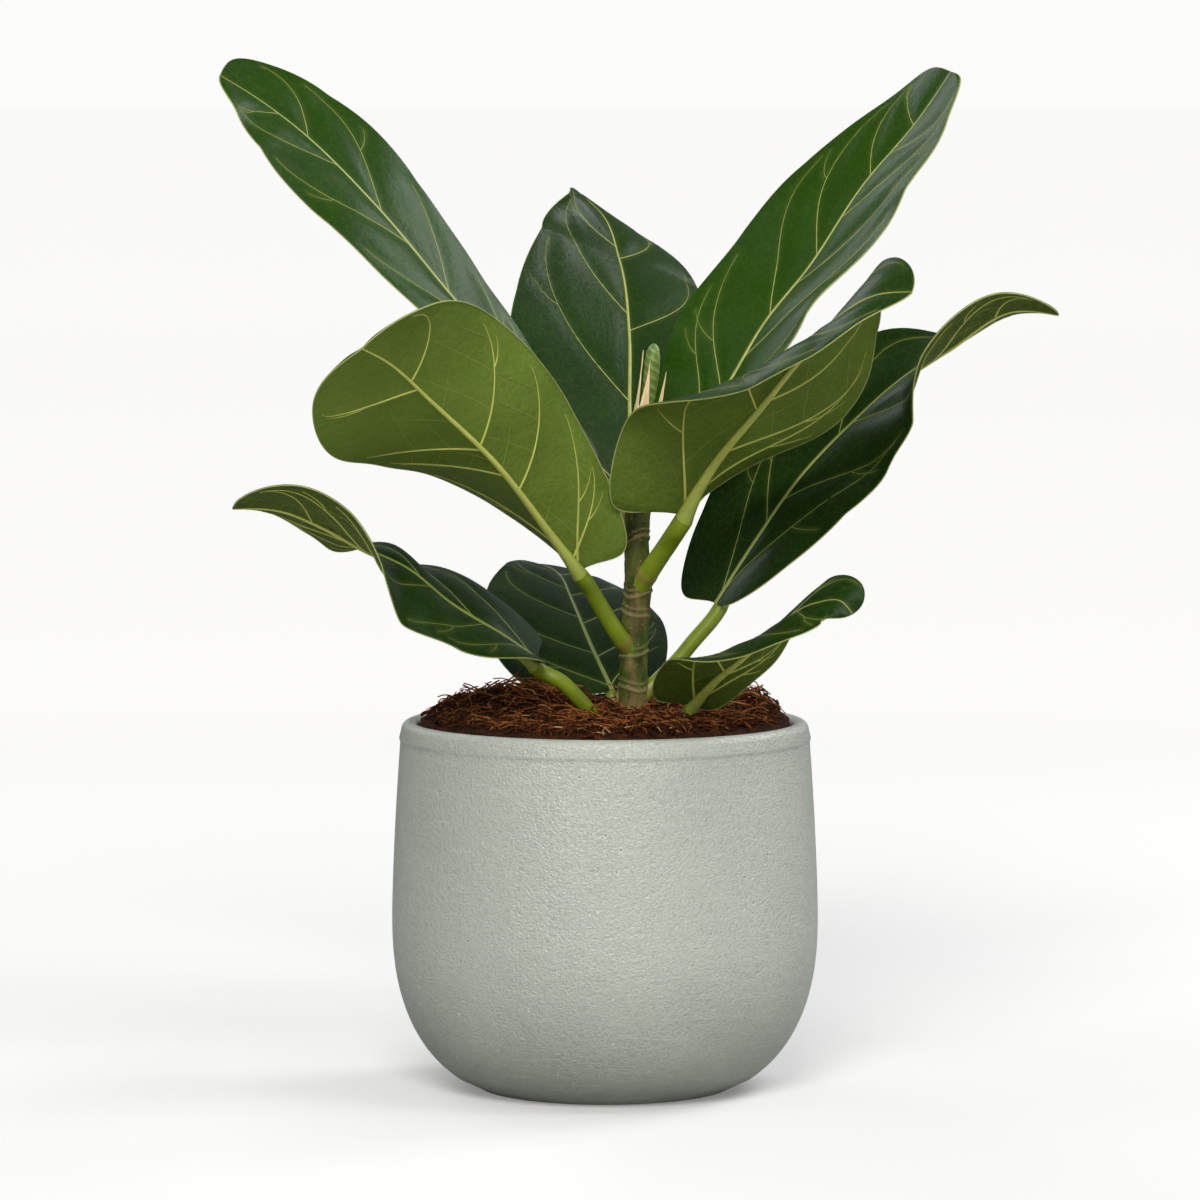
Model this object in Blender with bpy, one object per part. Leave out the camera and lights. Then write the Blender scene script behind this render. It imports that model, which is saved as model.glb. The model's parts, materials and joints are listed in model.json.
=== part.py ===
# Potted bengal fig: a young Ficus benghalensis in a rounded glazed pot.
# Lengths are metres, apart from the points and sizes in the trunk, leaf and bud tables,
# which are millimetres.
# The origin is the centre of the pot's base, on the surface that the pot stands on.
# +Z is up and -Y is the front.

import math

import bmesh
import bpy
import numpy as np
from mathutils import Vector, noise

MM = 0.001
GAP = 0.0003                       # clearance between pieces that touch

# Pot
POT_HEIGHT = 0.147
POT_BASE_RADIUS = 0.0503
POT_BELLY_RADIUS = 0.085
POT_BELLY_HEIGHT = 0.069
POT_TAPER = 0.004                  # how far the wall leans in from the belly to the rim
POT_TAPER_POWER = 1.5
POT_CURVE_RADIUS = 0.060           # half axes and power of the curve under the belly
POT_CURVE_HEIGHT = 0.073
POT_CURVE_POWER = 2.4
POT_WALL = 0.0066
POT_FLOOR = 0.009
POT_FLOOR_RADIUS = 0.050
COLLAR_HEIGHT = 0.0085             # thickened band under the lip
COLLAR_PROUD = 0.0004
LIP_RADIUS = 0.0035
LIP_LEAN = 0.0008                  # how far the lip stands in from the collar
FOOT_RADIUS = 0.0018               # soft edge round the base
POT_SEGMENTS = 44
LIP_STEPS = 6
OUTER_STEPS = (0.005, 0.010, 0.016, 0.024, 0.034, 0.048, 0.069, 0.095, 0.118)
INNER_STEPS = (0.014, 0.022, 0.034, 0.050, 0.072, 0.100, 0.128)

# Soil
SOIL_EDGE = 0.1455                 # height of the soil at the pot's wall
SOIL_MOUND = 0.0045                # how much higher it lies round the trunk
SOIL_MOUND_POWER = 4               # the higher, the flatter the mound's top
SOIL_HEAPS = (                     # loose heaps: (x, y, height, radius)
    (-0.060, 0.012, 0.0056, 0.016),
    (-0.034, 0.008, 0.0084, 0.018),
    (-0.012, 0.012, 0.0036, 0.012),
    (-0.018, 0.064, 0.0020, 0.012),
    (0.034, 0.058, 0.0026, 0.016),
    (0.044, 0.020, 0.0040, 0.013),
    (0.062, 0.012, 0.0096, 0.012),
)
SOIL_HEAP_POWER = 10               # the higher, the closer to the wall the heaps reach
SOIL_BUMP = 0.0010
SOIL_BUMP_SIZE = 0.014
SOIL_RINGS = 9

# Trunk, as (x, y, z, radius) up its middle
TRUNK = (
    (10.5, 0.0, 96, 6.4),
    (11.0, 0.0, 140, 6.3),
    (11.2, 0.0, 152, 6.0),
    (11.4, 0.2, 171, 5.5),
    (12.2, 0.4, 190, 5.4),
    (13.2, 0.4, 202, 5.5),
    (12.6, 0.2, 216, 4.9),
    (13.2, 0.0, 236, 5.2),
    (13.0, 0.0, 262, 4.9),
)
SCARS = (0.161, 0.173, 0.189, 0.1985, 0.219, 0.234, 0.247)
SCAR_PROUD = 0.0006
SCAR_WIDTH = 0.0018                # from a ring's crest to its foot
TRUNK_LEVELS = (0.096, 0.125, 0.150, 0.180, 0.204, 0.209, 0.226, 0.255, 0.262)
TRUNK_SIDES = 12

# Leaves
BLADE_THICKNESS = 0.0008
VEIN_RAISED = 0.0006               # side veins stand this far out of the underside
QUILT_RAISED = 0.0006              # the blade swells this much between them
GROOVE = 0.0003                    # the midrib lies this deep in the upper face
RIB_DEPTH = 1.6                    # the midrib's depth and half width at the base,
RIB_WIDTH = 0.9                    # of the stalk's radius
RIB_TAPER = 0.75
RIB_END = 0.0004                   # what is left of them at the tip
RIB_SIDE = (0.6, 0.75)             # share of its width and depth at its rounded side
RIB_FOOT = 1.1                     # where it meets the blade, of its half width
BLADE_FOOT = 1.6                   # half width of the blade where the stalk ends
ROWS = 16                          # from the base to the tip
COLUMNS = 4                        # from the midrib to the margin, on each side
VEIN_SWEEP = 0.12                  # how far side veins lean forward, of the length
FIRST_ANGLE = 0.10                 # the outline starts here, so that its foot has a face
LOBE_END = 1.15                    # angle of the outline at which the base lobes end
OUTLINE_POWER = 0.9                # the smaller, the fuller the base
CURVE_STEPS = 120
STALK_SIDES = 8
STALK_STEPS = 8
STALK_FOOT = 1.12                  # a stalk is this much thicker at the trunk
SIDE_HINT = (0.3, 1.0, 0.1)        # direction from which a tube's sides are counted
IN_SOIL = ("right", "low_right", "low_left", "low_back")

# midrib: where it runs from the stalk to the tip
# width: the flat blade's full width, and share: how much of it each half has
# roll: turn of the blade about its midrib, in degrees at even steps along it
# fold: slope of each half beside the midrib, and edge: slope at its margin, in degrees
# lobe: depth of the rounded base
# ovate: above 0 the half is widest near its base, below 0 near its tip
# blunt: the smaller, the blunter the tip
# stalk: its middle from inside the trunk to the blade, and its radius
# Pairs are for the left and the right half, seen from above with the tip ahead.
LEAVES = {
    "upper_left": dict(
        midrib=((-7, 14, 250.5), (-34, 20, 283.5), (-61, 28, 314.5), (-93, 38, 352),
                (-126, 48, 383.5), (-142, 50, 395), (-155, 49, 403)),
        width=74, share=(0.88, 0.85),
        roll=(8, 10, 12, 14, 16),
        fold=((6, 4, 2), (2, 2, 14)),
        edge=((10, 0, -10, -20, -20), (8, 4, 7, 17, 25)),
        lobe=(6, 6), ovate=(-0.26, -0.22), blunt=(0.8, 0.5),
        stalk=((13, 0, 219), (8, 5, 229), (2, 9, 238)), radius=3.0),
    "front_left": dict(
        midrib=((-9, -18, 209), (-18, -28, 220.5), (-45, -72, 257.5), (-67, -104, 280.5),
                (-82, -132, 296), (-91, -150, 302)),
        width=88, share=(0.93, 0.98),
        roll=(-38, -40, -42, -40),
        fold=((5, 5), (60, 50, 28, 5, 6)),
        edge=((10, 50, 44, 4), (60, 50, 22, 1, 0)),
        lobe=(7, 5), ovate=(-0.12, -0.20), blunt=(0.8, 0.7),
        stalk=((11.5, 0, 173), (5, -6, 182), (-3, -12, 195.5)), radius=3.3),
    "back": dict(
        midrib=((10, 17, 231.5), (10, 60, 271), (10, 100, 298), (6, 142, 326.5),
                (-2, 168, 345.5), (-12, 178, 354)),
        width=92, share=(1.12, 1),
        roll=(-8, -12, -16, -16),
        fold=((8, 8), (4, 0, -6)),
        edge=((12, 12, 10), (12, -2, -24)),
        lobe=(6, 6), ovate=(0.24, 0.1), blunt=(1.0, 0.72),
        stalk=((12.5, 0, 209), (12, 7, 216), (11, 11, 222.5)), radius=3.0),
    "front_right": dict(
        midrib=((29, -20, 231), (42, -34, 251.5), (60, -58, 275), (75, -78, 295.5),
                (88, -94, 310.5), (103, -106, 320), (116, -114, 321.5)),
        width=90, share=(1, 0.92),
        roll=(20, 22, 20, 8, -12, -26, -30),
        fold=((40, 16, 5, 10, 10), (0, 6, 10, 10, 0, 0)),
        edge=((50, 30, 14, 0, 0), (0, 0, -30, -56, -36, 0)),
        lobe=(0, 7), ovate=(0, 0.34), blunt=(1.15, 1.1),
        stalk=((13, 0, 199), (18, -6, 207.5), (25, -13, 218.5)), radius=3.8),
    "upper_right": dict(
        midrib=((34, 12, 257), (49, 20, 279.5), (64, 30, 304), (82, 40, 326),
                (104, 52, 358.5), (127, 60, 385.5), (140, 62, 404.5)),
        width=84, share=(0.94, 0.98),
        roll=(-10, -10, -10, -10),
        fold=((8, 8), (16, 10, 2)),
        edge=((24, 22, 16, 10), (40, 30, 12, 0)),
        lobe=(6, 6), ovate=(0.12, 0.12), blunt=(0.45, 0.5),
        stalk=((13.2, 0, 236), (19, 5, 242), (26, 8, 248)), radius=3.0),
    "right": dict(
        midrib=((44, 2, 193.5), (59, 4, 217), (78, 6, 244), (99, 6, 266), (117, 2, 282.5),
                (136, -4, 295.5), (162, -10, 311), (179, -14, 309.5)),
        width=80, share=(0.91, 0.94),
        roll=(-20, -26, -30, -34, -36, -30, 6, 18, 20),
        fold=((8, 8), (4, 4)),
        edge=((20, 16, 16, 20, 34, 40), (10, -6, -8, -4, 0)),
        lobe=(7, 0), ovate=(0.22, 0.04), blunt=(1.9, 1.1),
        stalk=((11.2, 0, 153), (21, 2, 162.5), (28, 3, 169.5), (35, 3, 178)), radius=3.0),
    "low_right": dict(
        midrib=((34, -26, 156), (42, -40, 166.5), (53, -56, 177.5), (66, -70, 190),
                (81, -82, 200.5), (91, -87.5, 201.5), (95, -89, 197)),
        width=54, share=(0.84, 1),
        roll=(20, 18, 10, -6, -20, -30),
        fold=((0, 16, 24, 16, 5), (0, 0)),
        edge=((6, 0, 0, -6, 0), (5, 0, -30, -30, -10)),
        lobe=(3, 5), ovate=(-0.2, 0), blunt=(0.9, 0.9),
        stalk=((11, 0, 128.5), (24, -14, 136.5), (31, -22, 148.5)), radius=2.8),
    "low_left": dict(
        midrib=((-26, -20, 172.5), (-38, -28, 182), (-60, -42, 197), (-78, -54, 212.5),
                (-94, -60, 220.5), (-109, -64, 229), (-126, -68, 236), (-144, -72, 237)),
        width=78, share=(0.88, 1),
        roll=(38, 40, 40, 36, -6, -20, -20),
        fold=((30, 5, 0, 0, 0), (0, 0, 0, 7, 9)),
        edge=((50, 10, -16, 0, 16), (-10, -24, -52, 4, 30)),
        lobe=(0, 8), ovate=(-0.15, 0.28), blunt=(0.8, 2.0),
        stalk=((11, 0, 134.5), (1, -9, 143), (-10, -15, 156.5), (-18, -18, 164.5)), radius=3.0),
    "low_back": dict(
        midrib=((3, 25, 156.5), (-5, 56, 170.5), (-14, 104, 187.5), (-19, 136, 194.5),
                (-25, 156, 196.5), (-32, 166, 197)),
        width=84, share=(0.90, 0.84),
        roll=(0, -6, -10),
        fold=((-8, 0, 6), (4, 4)),
        edge=((-14, -4, 0), (10, -8, -34)),
        lobe=(2, 2), ovate=(0.4, 0.06), blunt=(1.0, 0.9),
        stalk=((11, 0, 138), (9, 8, 145.5), (6, 17, 152)), radius=2.8),
}

# Bud on top of the trunk: a sheath that has split into three pointed scales, round a
# young leaf that is still rolled up
BUD_FLOOR = 0.2623                 # where the bud starts, just above the trunk
BUD_HOLLOW = 0.0008                # thickness of the sheath's floor
BUD_LINE = ((13.6, 0, 262), (16.2, 0, 271), (17.9, 0, 281), (18.9, 0, 290), (19.5, 0, 298))
SCALES = (                         # (direction in degrees, tip's height, width in degrees)
    (180, 0.2946, 80),
    (255, 0.2910, 50),
    (0, 0.2860, 45),
)
SCALE_POWER = 2.0                  # how slender the scales are
SHEATH_LOW = 0.2670                # height of the sheath between the scales
SHEATH_RADII = (0.0048, 0.0042)    # at its floor and at the highest tip
SHEATH_WALL = 0.0007
SPLAY = 0.0016                     # how far the right-hand scale leans away
SHEATH_SIDES = 24
SHEATH_RINGS = 5
NEW_LEAF_FOOT = 0.2643
NEW_LEAF_TOP = 0.2972
NEW_LEAF_LEVELS = (0.0, 0.25, 0.5, 0.7, 0.85, 0.94, 0.985)
NEW_LEAF_RADII = (0.0022, 0.0026, 0.0029, 0.0031, 0.0029, 0.0022, 0.0011)
NEW_LEAF_SIDES = 12


def station(values, at):
    """Value at 0 to 1 along a smooth curve through evenly spaced values."""
    values = np.asarray(values, float)
    return smooth_curve(np.column_stack([np.linspace(0, 1, len(values)), values]), at,
                        np.linspace(0, 1, len(values)))[..., 1]


def smooth_curve(points, at, places=None):
    """Points at 0 to 1 along a smooth curve through the given points."""
    points = np.asarray(points, float)
    if places is None:
        steps = np.linalg.norm(np.diff(points, axis=0), axis=1)
        places = np.concatenate([[0], np.cumsum(steps)]) / steps.sum()
    slopes = np.diff(points, axis=0) / np.diff(places)[:, None]
    tangents = np.zeros_like(points)
    for i in range(1, len(points) - 1):
        share = (places[i + 1] - places[i]) / (places[i + 1] - places[i - 1])
        tangents[i] = slopes[i - 1] * share + slopes[i] * (1 - share)
    tangents[0] = slopes[0]
    tangents[-1] = slopes[-1]
    if len(points) > 2:
        tangents[0] = 1.5 * slopes[0] - 0.5 * tangents[1]
        tangents[-1] = 1.5 * slopes[-1] - 0.5 * tangents[-2]
    at = np.asarray(at, float)
    i = np.clip(np.searchsorted(places, at, side="right") - 1, 0, len(points) - 2)
    span = (places[i + 1] - places[i])[..., None]
    t = ((at - places[i]) / (places[i + 1] - places[i]))[..., None]
    return ((2 * t**3 - 3 * t**2 + 1) * points[i]
            + (t**3 - 2 * t**2 + t) * span * tangents[i]
            + (3 * t**2 - 2 * t**3) * points[i + 1]
            + (t**3 - t**2) * span * tangents[i + 1])


def even_curve(points, steps):
    """Evenly spaced points along the smooth curve, and its length."""
    fine = smooth_curve(points, np.linspace(0, 1, 4 * steps + 1))
    travel = np.concatenate([[0], np.cumsum(np.linalg.norm(np.diff(fine, axis=0), axis=1))])
    wanted = np.linspace(0, travel[-1], steps + 1)
    return np.column_stack([np.interp(wanted, travel, fine[:, k]) for k in range(3)]), travel[-1]


class Blade:
    """The upper face of one leaf: where each point of the flat leaf lies in the plant."""

    def __init__(self, leaf):
        self.middle, self.length = even_curve(np.array(leaf["midrib"]) * MM, CURVE_STEPS)
        self.half = leaf["width"] / 2 * MM
        self.leaf = leaf
        along = np.gradient(self.middle, axis=0)
        self.ahead = along / np.linalg.norm(along, axis=1)[:, None]
        level = np.cross(self.ahead, [0, 0, 1])
        level /= np.linalg.norm(level, axis=1)[:, None]
        up = np.cross(level, self.ahead)
        places = np.linspace(0, 1, CURVE_STEPS + 1)
        roll = np.radians(station(leaf["roll"], places))[:, None]
        self.across = np.cos(roll) * level + np.sin(roll) * up
        self.upward = np.cos(roll) * up - np.sin(roll) * level
        self.fold = [np.radians(station(values, places)) for values in leaf["fold"]]
        self.edge = [np.radians(station(values, places)) for values in leaf["edge"]]

    def along(self, values, s):
        """A value kept along the midrib, read at distance s from the base."""
        place = np.clip(s / self.length, 0, 1) * CURVE_STEPS
        i = np.clip(np.floor(place).astype(int), 0, CURVE_STEPS - 1)
        share = place - i
        if values.ndim > 1:
            share = share[..., None]
        return values[i] * (1 - share) + values[i + 1] * share

    def place(self, s, v):
        """The point s along the midrib and v across the flat leaf, to the right."""
        middle = self.along(self.middle, s)
        middle = middle + self.ahead[0] * np.minimum(s, 0)[..., None]
        across = self.along(self.across, s)
        upward = self.along(self.upward, s)
        fold = np.where(v > 0, self.along(self.fold[1], s), self.along(self.fold[0], s))
        edge = np.where(v > 0, self.along(self.edge[1], s), self.along(self.edge[0], s))
        bend = (edge - fold) / self.half
        bend = np.where(np.abs(bend) < 1e-3, 1e-3, bend)
        reach = np.abs(v)
        out = (np.sin(fold + bend * reach) - np.sin(fold)) / bend
        rise = (np.cos(fold) - np.cos(fold + bend * reach)) / bend
        return middle + across * (np.sign(v) * out)[..., None] + upward * rise[..., None]

    def normal(self, s, v):
        """The upper face's normal there."""
        step = 0.0005
        forward = self.place(s + step, v) - self.place(s - step, v)
        right = self.place(s, v + step) - self.place(s, v - step)
        normal = np.cross(right, forward)
        return normal / np.linalg.norm(normal, axis=-1)[..., None]

    def outline(self, angle, side):
        """The flat leaf's margin, from its base at angle 0 to its tip at pi."""
        k = 0 if side < 0 else 1
        lobe = self.leaf["lobe"][k] * MM * 2 * np.sin(math.pi * np.minimum(angle / LOBE_END, 1))**2
        s = self.length * (1 - np.cos(angle)) / 2 - lobe
        power = np.where(angle > math.pi / 2, self.leaf["blunt"][k], OUTLINE_POWER)
        swell = 1 + self.leaf["ovate"][k] * np.cos(angle)
        v = self.half * self.leaf["share"][k] * swell * np.abs(np.sin(angle))**power
        return s, v * side

    def rib(self, s):
        """The midrib's depth and half width."""
        left = np.clip(1 - s / self.length, 0, 1)**RIB_TAPER * self.leaf["radius"] * MM
        return left * RIB_DEPTH + RIB_END, left * RIB_WIDTH + RIB_END

    def grid(self):
        """Flat points of the mesh, row by row from the base to the tip."""
        angle = np.linspace(FIRST_ANGLE, math.pi, ROWS + 1)[:-1]
        start = self.length * ((1 - np.cos(angle)) / 2 - VEIN_SWEEP * np.sin(angle)**2)
        start = np.maximum(start, 0)
        start[0] = 0
        rib = self.rib(start)[1]
        halves = []
        for side in (-1, 1):
            margin_s, margin_v = self.outline(angle, side)
            margin_s[0] = 0
            margin_v[0] = side * BLADE_FOOT * rib[0]
            s = [start, start]
            v = [side * RIB_SIDE[0] * rib, side * RIB_FOOT * rib]
            for k in range(1, COLUMNS + 1):
                share = k / COLUMNS
                s.append(start + (margin_s - start) * share)
                v.append(v[1] + (margin_v - v[1]) * share)
            halves.append((s, v))
        s = halves[0][0][::-1] + [start] + halves[1][0]
        v = halves[0][1][::-1] + [0 * start] + halves[1][1]
        return np.column_stack(s), np.column_stack(v)


def material(name, colour, roughness):
    """A plain material with the real surface's colour and roughness."""
    made = bpy.data.materials.new(name)
    made.use_nodes = True
    shader = made.node_tree.nodes["Principled BSDF"]
    shader.inputs["Base Color"].default_value = (*colour, 1)
    shader.inputs["Roughness"].default_value = roughness
    shader.inputs["Metallic"].default_value = 0
    made.diffuse_color = (*colour, 1)
    return made


def solid(name, vertices, faces, finish, smooth_angle=40):
    """An object from vertices and faces, with its faces turned outwards."""
    mesh = bpy.data.meshes.new(name)
    mesh.from_pydata([tuple(map(float, point)) for point in vertices], [], faces)
    bm = bmesh.new()
    bm.from_mesh(mesh)
    bmesh.ops.recalc_face_normals(bm, faces=bm.faces)
    bm.to_mesh(mesh)
    bm.free()
    mesh.shade_smooth()
    mesh.set_sharp_from_angle(angle=math.radians(smooth_angle))
    mesh.materials.append(finish)
    made = bpy.data.objects.new(name, mesh)
    bpy.context.scene.collection.objects.link(made)
    return made


def ring_faces(rings, sides):
    """Faces between rings of vertices that follow each other."""
    faces = []
    for i in range(rings - 1):
        for j in range(sides):
            k = (j + 1) % sides
            faces.append((i * sides + j, i * sides + k, (i + 1) * sides + k, (i + 1) * sides + j))
    return faces


def turned(name, profile, segments, finish):
    """A solid turned from a profile of (radius, height) that starts and ends on the axis."""
    vertices = []
    for radius, height in profile[1:-1]:
        for j in range(segments):
            turn = 2 * math.pi * j / segments
            vertices.append((radius * math.cos(turn), radius * math.sin(turn), height))
    rings = len(profile) - 2
    faces = ring_faces(rings, segments)
    first, last = len(vertices), len(vertices) + 1
    vertices += [(0, 0, profile[0][1]), (0, 0, profile[-1][1])]
    for j in range(segments):
        k = (j + 1) % segments
        faces.append((first, k, j))
        faces.append((last, (rings - 1) * segments + j, (rings - 1) * segments + k))
    return solid(name, vertices, faces, finish)


def tube(name, middle, radii, sides, finish):
    """A round stem along a line of points, closed by a flat face at each end."""
    middle = np.asarray(middle)
    ahead = np.gradient(middle, axis=0)
    ahead /= np.linalg.norm(ahead, axis=1)[:, None]
    side = np.cross(ahead[0], SIDE_HINT)
    vertices = []
    for centre, direction, radius in zip(middle, ahead, radii):
        side = side - direction * np.dot(side, direction)
        side /= np.linalg.norm(side)
        other = np.cross(direction, side)
        for j in range(sides):
            turn = 2 * math.pi * j / sides
            vertices.append(centre + radius * (side * math.cos(turn) + other * math.sin(turn)))
    faces = ring_faces(len(middle), sides)
    faces.append(tuple(range(sides)))
    faces.append(tuple(range((len(middle) - 1) * sides, len(middle) * sides)))
    return solid(name, vertices, faces, finish)


def cut(target, cutter):
    """Takes the cutter's shape out of the target."""
    cutter.hide_render = True
    cutter.display_type = "WIRE"
    boolean = target.modifiers.new("hole for " + cutter.name, "BOOLEAN")
    boolean.operation = "DIFFERENCE"
    boolean.solver = "EXACT"
    boolean.object = cutter


def outer_radius(height):
    """The pot's outside below its collar."""
    if height >= POT_BELLY_HEIGHT:
        rise = (height - POT_BELLY_HEIGHT) / (POT_HEIGHT - POT_BELLY_HEIGHT)
        return POT_BELLY_RADIUS - POT_TAPER * rise**POT_TAPER_POWER
    drop = (POT_BELLY_HEIGHT - height) / POT_CURVE_HEIGHT
    curve = (1 - drop**POT_CURVE_POWER)**(1 / POT_CURVE_POWER)
    return POT_BELLY_RADIUS - POT_CURVE_RADIUS * (1 - curve)


def pot_profile():
    """The pot from the middle of its base up, over the lip and down to its floor."""
    profile = [(0, 0), (POT_BASE_RADIUS - FOOT_RADIUS, 0), (POT_BASE_RADIUS, 0.25 * FOOT_RADIUS)]
    profile += [(outer_radius(height), height) for height in OUTER_STEPS]
    foot_of_collar = POT_HEIGHT - COLLAR_HEIGHT
    profile.append((outer_radius(foot_of_collar), foot_of_collar))
    collar = outer_radius(foot_of_collar) + COLLAR_PROUD
    profile.append((collar, foot_of_collar + 2 * COLLAR_PROUD))
    lip = collar - LIP_RADIUS - LIP_LEAN
    for k in range(LIP_STEPS + 1):
        turn = math.pi * k / LIP_STEPS
        profile.append((lip + LIP_RADIUS * math.cos(turn),
                        POT_HEIGHT - LIP_RADIUS + LIP_RADIUS * math.sin(turn)))
    profile += [(outer_radius(height) - POT_WALL, height) for height in reversed(INNER_STEPS)]
    profile += [(POT_FLOOR_RADIUS, POT_FLOOR), (0, POT_FLOOR)]
    return profile


def soil_height(x, y, edge):
    """The soil's uneven top, which reaches out to the radius of its edge."""
    reach = math.hypot(x, y)
    mound = SOIL_MOUND * max(0, 1 - (reach / POT_BELLY_RADIUS)**SOIL_MOUND_POWER)
    heaps = 0
    for centre_x, centre_y, height, size in SOIL_HEAPS:
        heaps += height * math.exp(-((x - centre_x)**2 + (y - centre_y)**2) / size**2)
    heaps *= max(0, 1 - (reach / edge)**SOIL_HEAP_POWER)
    bump = noise.noise(Vector((x, y, 0)) / SOIL_BUMP_SIZE) * SOIL_BUMP
    return SOIL_EDGE + mound + heaps + bump


def make_soil(finish):
    """The soil fills the pot to a loose mound."""
    wall = [(POT_FLOOR_RADIUS - GAP, POT_FLOOR + GAP)]
    wall += [(outer_radius(height) - POT_WALL - GAP, height) for height in INNER_STEPS]
    edge = outer_radius(SOIL_EDGE) - POT_WALL - 2 * GAP - COLLAR_PROUD
    vertices = []
    for radius, height in wall:
        for j in range(POT_SEGMENTS):
            turn = 2 * math.pi * j / POT_SEGMENTS
            vertices.append((radius * math.cos(turn), radius * math.sin(turn), height))
    for i in range(SOIL_RINGS):
        radius = edge * (1 - i / SOIL_RINGS)
        for j in range(POT_SEGMENTS):
            turn = 2 * math.pi * j / POT_SEGMENTS
            x, y = radius * math.cos(turn), radius * math.sin(turn)
            vertices.append((x, y, soil_height(x, y, edge)))
    rings = len(wall) + SOIL_RINGS
    faces = ring_faces(rings, POT_SEGMENTS)
    first, last = len(vertices), len(vertices) + 1
    vertices += [(0, 0, POT_FLOOR + GAP), (0, 0, soil_height(0, 0, edge))]
    for j in range(POT_SEGMENTS):
        k = (j + 1) % POT_SEGMENTS
        faces.append((first, k, j))
        faces.append((last, (rings - 1) * POT_SEGMENTS + j, (rings - 1) * POT_SEGMENTS + k))
    return solid("soil", vertices, faces, finish)


def make_trunk(name, finish, grow=0.0):
    """The trunk with a ring at each old leaf's scar."""
    points = np.array(TRUNK) * MM
    levels = list(TRUNK_LEVELS)
    for height in SCARS:
        levels += [height - SCAR_WIDTH, height, height + SCAR_WIDTH]
    levels = np.sort(levels)
    line = smooth_curve(points, levels, points[:, 2])
    ring = np.isin(levels, SCARS)
    return tube(name, line[:, :3], line[:, 3] + ring * SCAR_PROUD + grow, TRUNK_SIDES, finish)


def stalk_line(leaf, blade):
    """The stalk's middle, from inside the trunk to the blade's foot."""
    radius = leaf["radius"] * MM
    foot = blade.place(np.array(0.0), np.array(0.0))
    down = blade.normal(np.array(0.0), np.array(0.0)) * radius
    end = foot - down - blade.ahead[0] * GAP
    before = end - blade.ahead[0] * radius
    points = [np.array(point) * MM for point in leaf["stalk"]] + [before, end]
    line = smooth_curve(points, np.linspace(0, 1, STALK_STEPS + 1))
    line[-2] = line[-1] - blade.ahead[0] * np.linalg.norm(line[-1] - line[-2])
    return line


def make_stalk(name, leaf, blade, finish, grow=0.0):
    """One leaf stalk, a little thicker at the trunk."""
    line = stalk_line(leaf, blade)
    share = np.linspace(0, 1, len(line))
    radii = leaf["radius"] * MM * (STALK_FOOT - (STALK_FOOT - 1) * np.minimum(share * 2, 1)) + grow
    return tube(name, line, radii, STALK_SIDES, finish)


def make_blade(name, blade, finish):
    """One leaf blade, with its midrib and side veins raised under it."""
    s, v = blade.grid()
    rows, columns = s.shape
    normal = blade.normal(s, v)
    top = blade.place(s, v)
    middle = columns // 2
    depth = np.full(s.shape, BLADE_THICKNESS)
    rib = blade.rib(s[:, middle])[0]
    depth[:, middle] += rib
    depth[:, middle - 1] += RIB_SIDE[1] * rib
    depth[:, middle + 1] += RIB_SIDE[1] * rib
    for k in range(1, COLUMNS):
        between = math.sin(math.pi * k / COLUMNS)
        for column in (middle - 2 - k, middle + 2 + k):
            swell = np.where(np.arange(rows) % 2 == 0, QUILT_RAISED * between, 0)
            swell[0] = 0
            top[:, column] += normal[:, column] * swell[:, None]
            ridge = np.where(np.arange(rows) % 2 == 1, VEIN_RAISED * between, 0)
            depth[:, column] += ridge
    under = top - normal * depth[..., None]
    top[1:, middle] -= normal[1:, middle] * GROOVE
    tip = blade.place(np.array(blade.length), np.array(0.0))
    tip_normal = blade.normal(np.array(blade.length), np.array(0.0))
    count = rows * columns
    vertices = list(top.reshape(-1, 3)) + list(under.reshape(-1, 3))
    vertices += [tip, tip - tip_normal * BLADE_THICKNESS]
    faces = []
    for i in range(rows - 1):
        for j in range(columns - 1):
            a, b = i * columns + j, i * columns + j + 1
            c, d = b + columns, a + columns
            for base in (0, count):
                if j < middle:
                    faces += [(base + a, base + b, base + c), (base + a, base + c, base + d)]
                else:
                    faces += [(base + a, base + b, base + d), (base + b, base + c, base + d)]
        for j in (0, columns - 1):
            a, d = i * columns + j, (i + 1) * columns + j
            faces += [(a, d, count + d), (a, count + d, count + a)]
    last = (rows - 1) * columns
    for j in range(columns - 1):
        faces += [(j, j + 1, count + j + 1), (j, count + j + 1, count + j)]
        faces.append((last + j, last + j + 1, 2 * count))
        faces.append((count + last + j, count + last + j + 1, 2 * count + 1))
    for j in (0, columns - 1):
        faces += [(last + j, 2 * count, 2 * count + 1), (last + j, 2 * count + 1, count + last + j)]
    return solid(name, vertices, faces, finish)


def bud_middle(height):
    """The middle of the bud at a height."""
    points = np.array(BUD_LINE) * MM
    return smooth_curve(points, np.array(height), points[:, 2])


def scale_top(turn):
    """How high the sheath reaches in a direction, and how much it leans away there."""
    best, lean = SHEATH_LOW, 0.0
    for k, (direction, tip, width) in enumerate(SCALES):
        off = abs((math.degrees(turn) - direction + 180) % 360 - 180)
        height = SHEATH_LOW + (tip - SHEATH_LOW) * max(0, 1 - off / width)**SCALE_POWER
        if height > best:
            best, lean = height, SPLAY * (k == len(SCALES) - 1)
    return best, lean


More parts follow.
